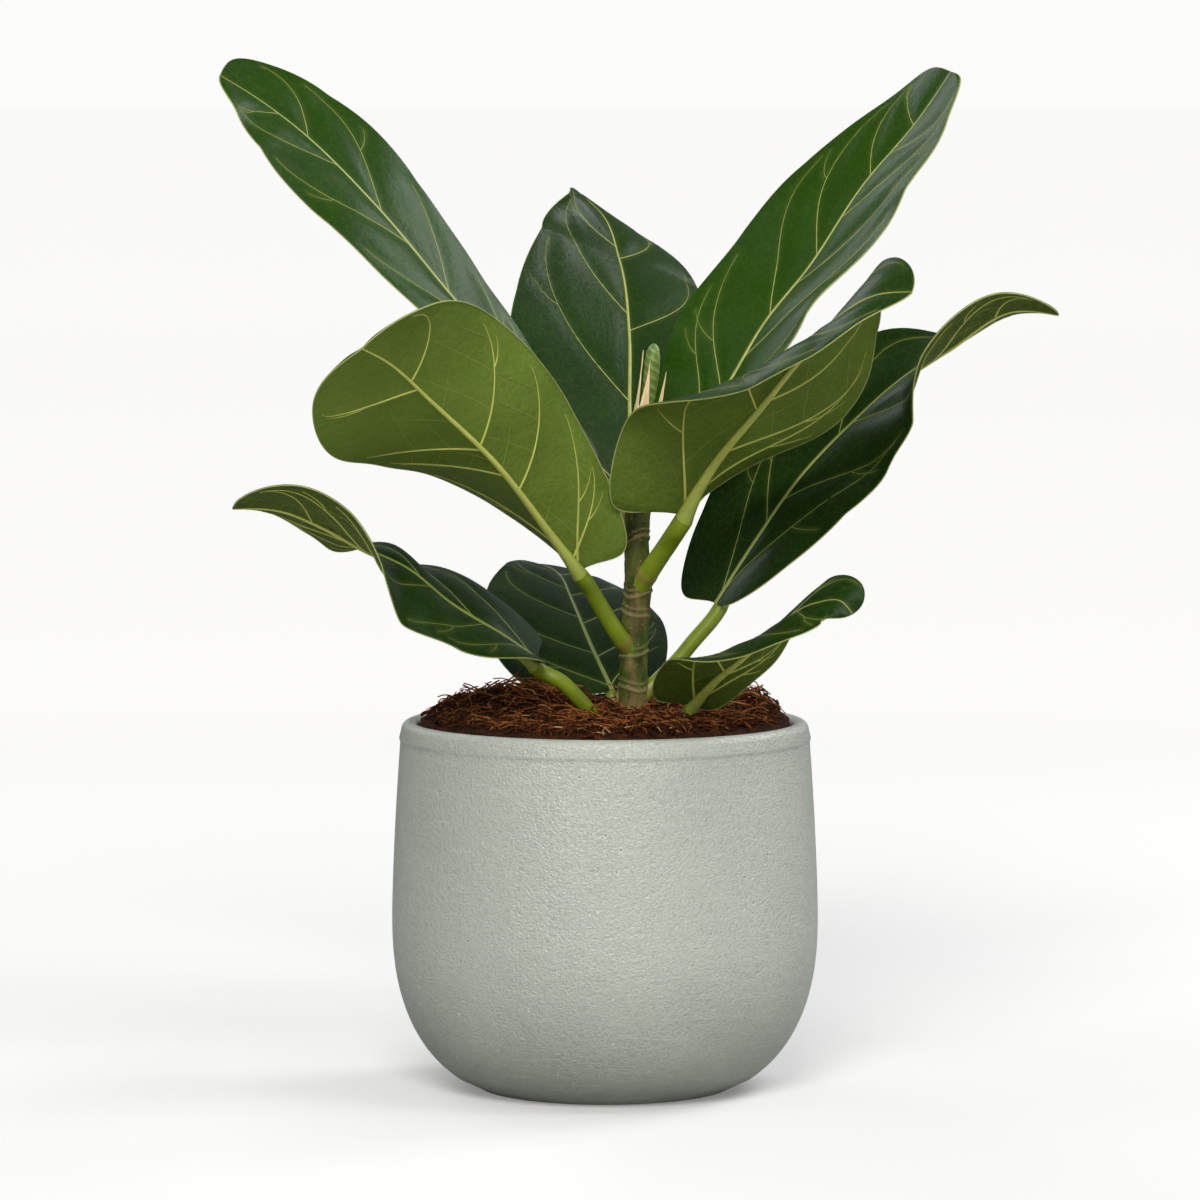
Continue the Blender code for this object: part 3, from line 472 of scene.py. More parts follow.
# midrib, width, share, roll, fold, edge, lobe, ovate, blunt, stalk and radius are the source's
# values. veins: where side veins leave the midrib on the left and the right half, as shares of
# its length. sweep: how far they run on towards the tip on each half, in widths of that half.
# basal: a factor for the run of the lowest pair. dim: how far the upper face's veins fade into
# it. tone: 0 a dark old leaf, 1 a bright young one.
leaves = {
    "upper_left": dict(
        midrib=((-7, 14, 250.5), (-34, 20, 283.5), (-61, 28, 314.5), (-93, 38, 352), (-126, 48, 383.5),
                (-142, 50, 395), (-155, 49, 403)),
        width=74, share=(0.88, 0.85), roll=(8, 10, 12, 14, 16),
        fold=((6, 4, 2), (2, 2, 14)), edge=((10, 0, -10, -20, -20), (8, 4, 7, 17, 25)),
        lobe=(6, 6), ovate=(-0.26, -0.22), blunt=(0.8, 0.5),
        stalk=((13, 0, 219), (8, 5, 229), (2, 9, 238)), radius=3.0,
        sweep=(1.7, 1.7), dim=0.2, tone=0.75,
        veins=((0.03, 0.16, 0.33, 0.52, 0.72, 0.87), (0.03, 0.21, 0.40, 0.60, 0.80))),
    "front_left": dict(
        midrib=((-9, -18, 209), (-18, -28, 220.5), (-45, -72, 257.5), (-67, -104, 280.5), (-82, -132, 296),
                (-91, -150, 302)),
        width=88, share=(0.93, 0.98), roll=(-38, -40, -42, -40),
        fold=((5, 5), (60, 50, 28, 5, 6)), edge=((10, 50, 44, 4), (60, 50, 22, 1, 0)),
        lobe=(7, 5), ovate=(-0.12, -0.20), blunt=(0.8, 0.7),
        stalk=((11.5, 0, 173), (5, -6, 182), (-3, -12, 195.5)), radius=3.3,
        sweep=(1.1, 0.6), tone=0.7,
        veins=((0.02, 0.04, 0.30, 0.485, 0.78), (0.03, 0.36, 0.47, 0.745))),
    "back": dict(
        midrib=((10, 17, 231.5), (10, 60, 271), (10, 100, 298), (6, 142, 326.5), (-2, 168, 345.5),
                (-12, 178, 354)),
        width=92, share=(1.12, 1), roll=(-8, -12, -16, -16),
        fold=((8, 8), (4, 0, -6)), edge=((12, 12, 10), (12, -2, -24)),
        lobe=(6, 6), ovate=(0.24, 0.1), blunt=(1.0, 0.72),
        stalk=((12.5, 0, 209), (12, 7, 216), (11, 11, 222.5)), radius=3.0,
        sweep=(1.9, 1.3), tone=0.3,
        veins=((0.02, 0.28, 0.57, 0.80), (0.02, 0.24, 0.515, 0.76))),
    "front_right": dict(
        midrib=((29, -20, 231), (42, -34, 251.5), (60, -58, 275), (75, -78, 295.5), (88, -94, 310.5),
                (103, -106, 320), (116, -114, 321.5)),
        width=90, share=(1, 0.92), roll=(20, 22, 20, 8, -12, -26, -30),
        fold=((40, 16, 5, 10, 10), (0, 6, 10, 10, 0, 0)), edge=((50, 30, 14, 0, 0), (0, 0, -30, -56, -36, 0)),
        lobe=(0, 7), ovate=(0, 0.34), blunt=(1.15, 1.1),
        stalk=((13, 0, 199), (18, -6, 207.5), (25, -13, 218.5)), radius=3.8,
        sweep=(1.2, 1.5), basal=1.7, tone=0.5,
        veins=((0.02, 0.22, 0.44, 0.66), (0.03, 0.40, 0.66))),
    "upper_right": dict(
        midrib=((34, 12, 257), (49, 20, 279.5), (64, 30, 304), (82, 40, 326), (104, 52, 358.5),
                (127, 60, 385.5), (140, 62, 404.5)),
        width=84, share=(0.94, 0.98), roll=(-10, -10, -10, -10),
        fold=((8, 8), (16, 10, 2)), edge=((24, 22, 16, 10), (40, 30, 12, 0)),
        lobe=(6, 6), ovate=(0.12, 0.12), blunt=(0.45, 0.5),
        stalk=((13.2, 0, 236), (19, 5, 242), (26, 8, 248)), radius=3.0,
        sweep=(1.8, 1.8), dim=0.05, tone=1.0,
        veins=((0.03, 0.12, 0.33, 0.50, 0.715, 0.86), (0.03, 0.22, 0.42, 0.60, 0.78))),
    "right": dict(
        midrib=((44, 2, 193.5), (59, 4, 217), (78, 6, 244), (99, 6, 266), (117, 2, 282.5), (136, -4, 295.5),
                (162, -10, 311), (179, -14, 309.5)),
        width=80, share=(0.91, 0.94), roll=(-20, -26, -30, -34, -36, -30, 6, 18, 20),
        fold=((8, 8), (4, 4)), edge=((20, 16, 16, 20, 34, 40), (10, -6, -8, -4, 0)),
        lobe=(7, 0), ovate=(0.22, 0.04), blunt=(1.9, 1.1),
        stalk=((11.2, 0, 153), (21, 2, 162.5), (28, 3, 169.5), (35, 3, 178)), radius=3.0,
        sweep=(1.5, 1.5), basal=1.8, dim=0.6, tone=0.15,
        veins=((0.02, 0.20, 0.44, 0.70), (0.02, 0.26, 0.48, 0.70, 0.86))),
    "low_right": dict(
        midrib=((34, -26, 156), (42, -40, 166.5), (53, -56, 177.5), (66, -70, 190), (81, -82, 200.5),
                (91, -87.5, 201.5), (95, -89, 197)),
        width=54, share=(0.84, 1), roll=(20, 18, 10, -6, -20, -30),
        fold=((0, 16, 24, 16, 5), (0, 0)), edge=((6, 0, 0, -6, 0), (5, 0, -30, -30, -10)),
        lobe=(3, 5), ovate=(-0.2, 0), blunt=(0.9, 0.9),
        stalk=((11, 0, 128.5), (24, -14, 136.5), (31, -22, 148.5)), radius=2.8,
        sweep=(1.3, 1.3), basal=1.6, dim=0.55, tone=0.25,
        veins=((0.03, 0.24, 0.48, 0.70), (0.03, 0.28, 0.50, 0.74))),
    "low_left": dict(
        midrib=((-26, -20, 172.5), (-38, -28, 182), (-60, -42, 197), (-78, -54, 212.5), (-94, -60, 220.5),
                (-109, -64, 229), (-126, -68, 236), (-144, -72, 237)),
        width=78, share=(0.88, 1), roll=(38, 40, 40, 36, -6, -20, -20),
        fold=((30, 5, 0, 0, 0), (0, 0, 0, 7, 9)), edge=((50, 10, -16, 0, 16), (-10, -24, -52, 4, 30)),
        lobe=(0, 8), ovate=(-0.15, 0.28), blunt=(0.8, 2.0),
        stalk=((11, 0, 134.5), (1, -9, 143), (-10, -15, 156.5), (-18, -18, 164.5)), radius=3.0,
        sweep=(1.5, 1.5), dim=0.75, tone=0.2,
        veins=((0.03, 0.20, 0.40, 0.60, 0.78), (0.03, 0.24, 0.44, 0.64))),
    "low_back": dict(
        midrib=((3, 25, 156.5), (-5, 56, 170.5), (-14, 104, 187.5), (-19, 136, 194.5), (-25, 156, 196.5),
                (-32, 166, 197)),
        width=84, share=(0.90, 0.84), roll=(0, -6, -10),
        fold=((-8, 0, 6), (4, 4)), edge=((-14, -4, 0), (10, -8, -34)),
        lobe=(2, 2), ovate=(0.4, 0.06), blunt=(1.0, 0.9),
        stalk=((11, 0, 138), (9, 8, 145.5), (6, 17, 152)), radius=2.8,
        sweep=(1.2, 1.2), dim=0.75, tone=0.05,
        veins=((0.02, 0.20, 0.42, 0.64, 0.82), (0.02, 0.18, 0.38, 0.58, 0.78))),
}
bladeLook = Look(
    rows=130, columns=24, thick=0.0008, thinEdge=0.0004, sweep=0.12, lobeEnd=1.15, basePower=0.9,
    firstAngle=0.04, lastAngle=0.04, tipAngles=(0.02, 0.008, 0.003, 0.0008, 0.0), crowded=1.25, sharp=55,
    swell=0.0007, swellWidth=0.0048, wave=0.00015, waveLength=0.034, fadeIn=0.012, veinWidth=0.0013,
)
veinLook = Look(
    # half thickness of each kind, and how far towards the margin the side veins reach
    side=0.00034, fork=0.00020, small=0.00009, margin=0.00024, marginFrom=0.12, marginIn=0.998, reach=0.88,
    # side veins: how their run varies, the lowest pair's run, how they bend, waver and thin
    points=30, vary=(0.92, 1.1), basal=(0.20, 0.5), longest=0.95, run=0.86, runOn=(0.08, 0.16),
    bend=(1.3, 1.45), waver=0.0005, waverTurns=(7, 11), thin=0.75, thinAlong=0.35,
    # forks: the point of the side vein where they leave it, how far they run, how they thin
    forkPoints=14, forkAt=(12, 18), forkRun=0.30, forkVary=(0.6, 1.1), forkReach=0.95, forkThin=0.65,
    # the ladder between side veins: its places, its slant in points, its bow, and the points kept
    ladderPoints=9, ladder=(0.3, 0.95, 0.26), uneven=0.04, slant=(4, 9), bow=0.0010, kept=(5, 10),
    # short veins from the midrib: where between two side veins, and how far they run
    shortPoints=12, shortAt=(0.4, 0.6), shortRun=0.40, shortBend=0.9, shortThin=(1.3, 0.6),
    # the midrib on both faces, as shares of the stalk's radius, and its end at the tip
    midribTop=0.34, midribTopEnd=0.00018, midribUnder=0.42, midribFoot=0.5, midribUnderEnd=0.00022,
    footLength=0.015, taper=0.75, joint=0.012, midribSunk=0.35, midribDim=0.7, footFade=0.75, fadeLength=0.03,
    # side veins on both faces: their width, how deep they lie, and how far each rank fades
    above=0.00004, topWide=0.85, topSunk=0.3, underWide=1.65, underSmall=0.9, underSunk=0.2,
    fade=(0.0, 0.25, 0.75), fadeEnd=0.5, fadePower=1.5,
)


def smoothCurve(points, at, places=None):
    points = np.asarray(points, float)
    if places is None:
        steps = np.linalg.norm(np.diff(points, axis=0), axis=1)
        places = np.concatenate([[0], np.cumsum(steps)]) / steps.sum()
    slopes = np.diff(points, axis=0) / np.diff(places)[:, None]
    tangents = np.zeros_like(points)
    for i in range(1, len(points) - 1):
        share = (places[i + 1] - places[i]) / (places[i + 1] - places[i - 1])
        tangents[i] = slopes[i - 1] * share + slopes[i] * (1 - share)
    tangents[0], tangents[-1] = slopes[0], slopes[-1]
    if len(points) > 2:
        tangents[0] = 1.5 * slopes[0] - 0.5 * tangents[1]
        tangents[-1] = 1.5 * slopes[-1] - 0.5 * tangents[-2]
    at = np.asarray(at, float)
    i = np.clip(np.searchsorted(places, at, side="right") - 1, 0, len(points) - 2)
    span = (places[i + 1] - places[i])[..., None]
    t = ((at - places[i]) / (places[i + 1] - places[i]))[..., None]
    return ((2 * t**3 - 3 * t**2 + 1) * points[i] + (t**3 - 2 * t**2 + t) * span * tangents[i]
            + (3 * t**2 - 2 * t**3) * points[i + 1] + (t**3 - t**2) * span * tangents[i + 1])


def station(values, at):
    values = np.asarray(values, float)
    places = np.linspace(0, 1, len(values))
    return smoothCurve(np.column_stack([places, values]), at, places)[..., 1]


class Blade:
    def __init__(self, leaf):
        self.leaf = leaf
        self.steps = 240
        points = np.array(leaf["midrib"]) * mm
        fine = smoothCurve(points, np.linspace(0, 1, 4 * self.steps + 1))
        travel = np.concatenate([[0], np.cumsum(np.linalg.norm(np.diff(fine, axis=0), axis=1))])
        self.length = travel[-1]
        wanted = np.linspace(0, self.length, self.steps + 1)
        self.middle = np.column_stack([np.interp(wanted, travel, fine[:, k]) for k in range(3)])
        self.half = leaf["width"] / 2 * mm
        along = np.gradient(self.middle, axis=0)
        self.ahead = along / np.linalg.norm(along, axis=1)[:, None]
        level = np.cross(self.ahead, [0, 0, 1])
        level /= np.linalg.norm(level, axis=1)[:, None]
        up = np.cross(level, self.ahead)
        places = np.linspace(0, 1, self.steps + 1)
        roll = np.radians(station(leaf["roll"], places))[:, None]
        self.across = np.cos(roll) * level + np.sin(roll) * up
        self.upward = np.cos(roll) * up - np.sin(roll) * level
        self.fold = [np.radians(station(values, places)) for values in leaf["fold"]]
        self.edge = [np.radians(station(values, places)) for values in leaf["edge"]]
        # half widths along the midrib, for the veins
        angle = np.linspace(0, math.pi, 600)
        self.halves = []
        for side in (-1, 1):
            s, v = self.outline(angle, side)
            first = int(np.argmin(s))
            self.halves.append((s[first:], np.abs(v[first:])))

    def along(self, values, s):
        place = np.clip(s / self.length, 0, 1) * self.steps
        i = np.clip(np.floor(place).astype(int), 0, self.steps - 1)
        share = place - i
        if values.ndim > 1:
            share = share[..., None]
        return values[i] * (1 - share) + values[i + 1] * share

    def place(self, s, v):
        middle = self.along(self.middle, s) + self.ahead[0] * np.minimum(s, 0)[..., None]
        fold = np.where(v > 0, self.along(self.fold[1], s), self.along(self.fold[0], s))
        edge = np.where(v > 0, self.along(self.edge[1], s), self.along(self.edge[0], s))
        bend = (edge - fold) / self.half
        bend = np.where(np.abs(bend) < 1e-3, 1e-3, bend)
        reach = np.abs(v)
        out = (np.sin(fold + bend * reach) - np.sin(fold)) / bend
        rise = (np.cos(fold) - np.cos(fold + bend * reach)) / bend
        return (middle + self.along(self.across, s) * (np.sign(v) * out)[..., None]
                + self.along(self.upward, s) * rise[..., None])

    def normal(self, s, v):
        step = 0.0008
        forward = self.place(s + step, v) - self.place(s - step, v)
        right = self.place(s, v + step) - self.place(s, v - step)
        normal = np.cross(right, forward)
        return normal / np.linalg.norm(normal, axis=-1)[..., None]

    def outline(self, angle, side):
        k = 0 if side < 0 else 1
        lobe = self.leaf["lobe"][k] * mm * 2 * np.sin(math.pi * np.minimum(angle / bladeLook.lobeEnd, 1))**2
        s = self.length * (1 - np.cos(angle)) / 2 - lobe
        power = np.where(angle > math.pi / 2, self.leaf["blunt"][k], bladeLook.basePower)
        swell = 1 + self.leaf["ovate"][k] * np.cos(angle)
        return s, side * self.half * self.leaf["share"][k] * swell * np.abs(np.sin(angle))**power

    def halfWidth(self, s, side):
        known = self.halves[0 if side < 0 else 1]
        return np.interp(s, known[0], known[1])


def leafVeins(blade, seed):
    # side veins with their forks and the small veins between them, as flat points,
    # thickness and rank (1 side vein, 2 fork, 3 small vein)
    pick = np.random.default_rng(seed)
    look = veinLook
    found = []
    for side in (-1, 1):
        starts = blade.leaf["veins"][0 if side < 0 else 1]
        paths = []
        for k, start in enumerate(starts):
            s0 = start * blade.length
            basal = k == 0
            room = blade.halfWidth(s0 + 0.25 * blade.half, side)
            reach = blade.leaf["sweep"][0 if side < 0 else 1] * room * pick.uniform(*look.vary)
            if basal:
                reach = look.basal[0] * blade.length + look.basal[1] * blade.half
                reach *= blade.leaf.get("basal", 1.0)
            reach = min(reach, look.longest * blade.length - s0)
            t = np.linspace(0, 1, look.points)
            s = s0 + reach * (look.run * t + pick.uniform(*look.runOn) * t**3)
            share = look.reach * (1 - (1 - t)**pick.uniform(*look.bend))
            waver = look.waver * np.sin(t * pick.uniform(*look.waverTurns) + pick.uniform(0, 6)) * t * (1 - t)
            v = side * (share * blade.halfWidth(s, side) + waver)
            thick = look.side * (1 - look.thin * t) * (1.05 - look.thinAlong * start)
            paths.append((s, v))
            found.append((s, v, thick, 1))
            if k % 2 or basal:
                # a fork towards the margin, about halfway
                i = int(pick.integers(*look.forkAt))
                u = np.linspace(0, 1, look.forkPoints)
                here = abs(v[i]) / max(blade.halfWidth(s[i], side), 1e-5)
                fork = s[i] + look.forkRun * room * pick.uniform(*look.forkVary) * (0.25 * u + 0.75 * u**2)
                width = here + (look.reach - here) * (look.forkReach * u)
                width = side * width * blade.halfWidth(fork, side)
                found.append((fork, width, look.fork * (1 - look.forkThin * u), 2))
        for (s1, v1), (s2, v2) in zip(paths[:-1], paths[1:]):
            # the ladder of small veins between neighbours
            for place in np.arange(*look.ladder):
                i = int((place + pick.uniform(-look.uneven, look.uneven)) * (look.points - 1))
                j = max(1, i - int(pick.integers(*look.slant)))
                if s1[i] >= s2[j]:
                    continue
                u = np.linspace(0, 1, look.ladderPoints)
                bow = look.bow * np.sin(u * math.pi) * pick.uniform(-1, 1)
                ladderS = s1[i] + (s2[j] - s1[i]) * u
                ladderV = v1[i] + (v2[j] - v1[i]) * u + side * bow
                stop = int(pick.integers(*look.kept))
                found.append((ladderS[:stop], ladderV[:stop], np.full(stop, look.small), 3))
        for first, second in zip(starts[1:-1], starts[2:]):
            # short veins from the midrib between the side veins
            s0 = (first + (second - first) * pick.uniform(*look.shortAt)) * blade.length
            room = blade.halfWidth(s0, side)
            u = np.linspace(0, 1, look.shortPoints)
            thick = look.small * (look.shortThin[0] - look.shortThin[1] * u)
            found.append((s0 + look.shortRun * room * u, side * look.shortRun * room * u**look.shortBend,
                          thick, 3))
    return found


def distanceTo(lines, s, v):
    # flat distance of each point from the nearest of the lines
    knots = np.concatenate([np.column_stack([line[0], line[1]]) for line in lines])
    flat = np.column_stack([s.ravel(), v.ravel()])
    best = np.full(len(flat), 1.0)
    for start in range(0, len(knots), 200):
        gap = flat[:, None, :] - knots[None, start:start + 200, :]
        best = np.minimum(best, np.sqrt((gap**2).sum(axis=2)).min(axis=1))
    return best.reshape(s.shape)


def leafRelief(blade, ribbed, s, v):
    # how far the upper face lies above the plain blade, and how near a vein is
    near = distanceTo(ribbed, s, v)
    side = np.where(v < 0, -1, 1)
    room = np.where(v < 0, blade.halfWidth(s, -1), blade.halfWidth(s, 1))
    share = np.clip(np.abs(v) / np.maximum(room, 1e-5), 0, 1)
    puff = bladeLook.swell * (1 - np.exp(-(near / bladeLook.swellWidth)**2)) * (1 - share**6)
    wave = bladeLook.wave * share**3 * np.sin(2 * math.pi * s / bladeLook.waveLength + 2 * side)
    fade = np.clip(s / bladeLook.fadeIn, 0, 1)
    return (puff + wave) * fade, np.exp(-(near / bladeLook.veinWidth)**2)


def makeLeaf(name, leaf, seed):
    blade = Blade(leaf)
    rows, columns = bladeLook.rows, bladeLook.columns
    ends = math.pi - np.array(bladeLook.tipAngles)
    angle = np.linspace(bladeLook.firstAngle, math.pi - bladeLook.lastAngle, rows)
    angle = np.concatenate([angle, ends])
    start = blade.length * ((1 - np.cos(angle)) / 2 - bladeLook.sweep * np.sin(angle)**2)
    start = np.maximum(start, 0)
    halves = []
    for side in (-1, 1):
        marginS, marginV = blade.outline(angle, side)
        share = np.linspace(0, 1, columns + 1)[1:]
        share = 1 - (1 - share)**bladeLook.crowded
        halves.append((start[:, None] * (1 - share) + marginS[:, None] * share, marginV[:, None] * share))
    s = np.concatenate([halves[0][0][:, ::-1], start[:, None], halves[1][0]], axis=1)
    v = np.concatenate([halves[0][1][:, ::-1], 0 * start[:, None], halves[1][1]], axis=1)
    rows, wide = s.shape
    veins = leafVeins(blade, seed)
    t = np.linspace(0, 1, 160)
    midrib = (t * blade.length, 0 * t)
    ribbed = [midrib] + [(vein[0], vein[1]) for vein in veins if vein[3] <= 2]
    relief, near = leafRelief(blade, ribbed, s, v)
    normal = blade.normal(s, v)
    top = blade.place(s, v) + normal * relief[..., None]
    across = np.abs(np.linspace(-1, 1, wide))[None, :]
    depth = bladeLook.thick + (bladeLook.thinEdge - bladeLook.thick) * across**3
    under = top - normal * depth[..., None]
    count = rows * wide
    grid = np.arange(count).reshape(rows, wide)
    a, b, c, d = grid[:-1, :-1], grid[:-1, 1:], grid[1:, 1:], grid[1:, :-1]
    upperFaces = np.stack([a, b, c, d], axis=-1).reshape(-1, 4)
    lowerFaces = upperFaces[:, ::-1] + count
    faces = upperFaces.tolist() + lowerFaces.tolist()
    for rim, flip in ((grid[:, 0], False), (grid[:, -1], True), (grid[0], True), (grid[-1], False)):
        for i, j in zip(rim[:-1].tolist(), rim[1:].tolist()):
            wall = (i, j, j + count, i + count)
            faces.append(wall[::-1] if flip else wall)
    points = np.concatenate([top.reshape(-1, 3), under.reshape(-1, 3)])
    made = newMesh("leaf_" + name + "_blade", points, faces)
    mesh = made.data
    mesh.materials.append(leafTop)
    mesh.materials.append(leafUnder)
    slots = np.zeros(len(faces), int)
    slots[len(upperFaces):] = 1
    mesh.polygons.foreach_set("material_index", slots)
    flat = np.column_stack([np.tile(s.ravel(), 2), np.tile(v.ravel(), 2)])
    corners = np.empty(len(mesh.loops), int)
    mesh.loops.foreach_get("vertex_index", corners)
    mesh.uv_layers.new(name="UVMap").data.foreach_set("uv", flat[corners].ravel())
    pointValues(made, "veinNear", np.tile(near.ravel(), 2))
    pointValues(made, "tone", np.full(2 * count, leaf["tone"]))
    mesh.shade_smooth()
    mesh.set_sharp_from_angle(angle=math.radians(bladeLook.sharp))
    finish(made, "leaf_" + name, slot="leaf_blade")

    # veins: pale lines on the upper face, raised ribs on the underside
    look = veinLook
    upper, lower, rim = [], [], []
    radius, dim = leaf["radius"] * mm, leaf.get("dim", 0)
    for vs, vv, thick, rank in veins + [(midrib[0], midrib[1], None, 0)]:
        lift, _ = leafRelief(blade, ribbed, vs, vv)
        out = blade.normal(vs, vv)
        face = blade.place(vs, vv) + out * lift[:, None]
        if rank == 0:
            left = np.clip(1 - vs / blade.length, 0, 1)**look.taper
            thickTop = look.midribTop * radius * left + look.midribTopEnd
            sunk = (thickTop * look.midribSunk)[:, None]
            upper.append((face - out * sunk, thickTop, look.midribDim * dim))
            share = look.midribUnder + look.midribFoot * np.exp(-vs / look.footLength)
            thickUnder = radius * left * share + look.midribUnderEnd
            joint = np.exp(-vs / look.joint)
            deep = (bladeLook.thick + look.midribSunk * thickUnder) * (1 - joint) + radius * joint
            fade = look.footFade * np.exp(-vs / look.fadeLength)
            lower.append((face - out * deep[:, None], thickUnder, fade))
        else:
            fade = look.fade[rank - 1] + np.linspace(0, look.fadeEnd, len(vs))**look.fadePower
            fade = np.clip(fade, 0, 1)
            if rank < 3:
                proud = face + out * look.above - out * (thick * look.topSunk)[:, None]
                upper.append((proud, thick * look.topWide, np.maximum(fade, dim)))
            wideUnder = thick * (look.underWide if rank < 3 else look.underSmall)
            sunk = (bladeLook.thick + look.underSunk * wideUnder)[:, None]
            lower.append((face - out * sunk, wideUnder, fade))
    for side in (-1, 1):
        rs, rv = blade.outline(np.linspace(look.marginFrom, math.pi, 220), side)
        lift, _ = leafRelief(blade, ribbed, rs, rv)
        lift = lift - bladeLook.thinEdge - look.topSunk * look.margin
        line = blade.place(rs, rv * look.marginIn) + blade.normal(rs, rv) * lift[:, None]
        rim.append((line, np.full(len(rs), look.margin), 0.0))
    drawn = {"veins_top": (upper, 6, veinTop), "veins_under": (lower, 8, veinUnder),
             "margin": (rim, 6, marginPale)}
    for label, (lines, sides, material) in drawn.items():
        finish(tubes("leaf_" + name + "_" + label, lines, sides, material), slot="leaf_blade")
    return blade


# Trunk

trunkLook = Look(
    line=((10.5, 0.0, 96, 6.4), (11.0, 0.0, 140, 6.3), (11.2, 0.0, 152, 6.0), (11.4, 0.2, 171, 5.5),
          (12.2, 0.4, 190, 5.4), (13.2, 0.4, 202, 5.5), (12.6, 0.2, 216, 4.9), (13.2, 0.0, 236, 5.2),
          (13.0, 0.0, 262, 4.9)),
    # leaf scars: their heights, how proud and wide the ring of each is, how it tilts and winds,
    # and the weaker ring above it: its share, how far up and how wide
    scars=(0.161, 0.173, 0.189, 0.1985, 0.219, 0.234, 0.247), proud=0.0006, ringWidth=0.0007,
    tilt=0.0015, wind=0.0008, second=0.7, secondUp=0.0026, secondWidth=0.6,
    # the skin's roughness: depth, lumps round the trunk and lumps in a metre of height
    rough=((0.00022, 3, 180), (0.00010, 7, 420)),
    # how brown the skin is: everywhere, in patches, and more so from this height down
    woody=0.24, woodyPatch=1.5, woodyBelow=0.170, woodyGrowth=14, sides=72, levels=330,
)
trunkPoints = np.array(trunkLook.line) * mm


def trunkAt(heights):
    return smoothCurve(trunkPoints, heights, trunkPoints[:, 2])


levels = np.linspace(trunkPoints[0, 2], trunkPoints[-1, 2], trunkLook.levels)
line = trunkAt(levels)
turns = np.linspace(0, 2 * math.pi, trunkLook.sides, endpoint=False)
rings, ringShare, woody = [], [], []
for row, z in enumerate(levels):
    for turn in turns:
        x, y = math.cos(turn), math.sin(turn)
        amount = 0.0
        for k, scar in enumerate(trunkLook.scars):
            tilt = trunkLook.tilt * math.sin(turn + 2.1 * k) + trunkLook.wind * math.sin(2 * turn + k)
            off = z - scar - tilt
            above = (off - trunkLook.secondUp) / (trunkLook.secondWidth * trunkLook.ringWidth)
            amount = max(amount, math.exp(-(off / trunkLook.ringWidth)**2),
                         trunkLook.second * math.exp(-above**2))
        rough = sum(noise.noise(Vector((x * around, y * around, z * upwards))) * depth
                    for depth, around, upwards in trunkLook.rough)
        r = line[row, 3] + trunkLook.proud * amount + rough
        rings.append((line[row, 0] + r * x, line[row, 1] + r * y, z))
        ringShare.append(amount)
        patch = noise.noise(Vector((x * 1.3 + 4, y * 1.3, z * 75)))
        brown = trunkLook.woody + trunkLook.woodyPatch * patch
        woody.append(min(1, max(0, brown + (trunkLook.woodyBelow - z) * trunkLook.woodyGrowth)))
trunk = skinned("trunk_bark", rings, bands(trunkLook.levels, trunkLook.sides, capped=True), bark,
                ring=ringShare, woody=woody)
finish(trunk, "trunk", slot="bark")
print("trunk made")


stalkLook = Look(steps=60, sides=28, foot=1.12, ring=0.0011, ringOut=0.0006, swollen=0.05,
                 scar=0.8, intoBlade=0.0003)


def makeStalk(name, leaf, blade):
    radius = leaf["radius"] * mm
    zero = np.array(0.0)
    end = blade.place(zero, zero) - blade.normal(zero, zero) * radius
    before = end - blade.ahead[0] * radius
    points = [np.array(point) * mm for point in leaf["stalk"]] + [before]
    points.append(end + blade.ahead[0] * stalkLook.intoBlade)
    share = np.linspace(0, 1, stalkLook.steps)
    line = smoothCurve(points, share)
    # the scar's ring lies where the stalk comes out of the trunk
    inTrunk = trunkAt(np.clip(line[:, 2], trunkPoints[0, 2] + mm, trunkPoints[-1, 2] - mm))
    clear = np.linalg.norm(line[:, :2] - inTrunk[:, :2], axis=1) - inTrunk[:, 3]
    ring = np.exp(-((clear - stalkLook.ringOut) / stalkLook.ring)**2)
    thick = radius * (stalkLook.foot - (stalkLook.foot - 1) * np.minimum(share * 2, 1))
    thick = thick * (1 + stalkLook.swollen * ring)
    path = (line, thick, stalkLook.scar * ring)
    skin = tubes("stalk_" + name + "_skin", [path], stalkLook.sides, stalkSkin)
    finish(skin, "stalk_" + name, slot="leaf_stalk")


for number, (name, leaf) in enumerate(leaves.items()):
    makeStalk(name, leaf, makeLeaf(name, leaf, 11 + number))
print("leaves and stalks made")


# Pot: its profile swept round a circle with Geometry Nodes

potLook = Look(
    height=0.147, base=0.0503, belly=0.085, bellyHeight=0.069, taper=0.004, taperPower=1.5,
    curveRadius=0.060, curveHeight=0.073, curvePower=2.4, wall=0.0066, floor=0.009,
    floorRadius=0.050, collar=0.0085, collarProud=0.0004, collarRise=0.0018, groove=0.0012,
    lip=0.0035, lipLean=0.0008, foot=0.0018, footFlat=0.25,
    # where the outer wall's curve starts, the inner wall's top, foot and number of points, and
    # how far from the middle the flat faces have their ring of points
    wallFrom=0.005, wallSteps=70, inside=(0.136, 0.012, 30), flat=0.02,
    footSteps=5, collarSteps=6, lipSteps=18, sides=220,
)


def potRadius(height):
    if height >= potLook.bellyHeight:
        rise = (height - potLook.bellyHeight) / (potLook.height - potLook.bellyHeight)
        return potLook.belly - potLook.taper * rise**potLook.taperPower
    drop = (potLook.bellyHeight - height) / potLook.curveHeight
    curve = (1 - drop**potLook.curvePower)**(1 / potLook.curvePower)
    return potLook.belly - potLook.curveRadius * (1 - curve)


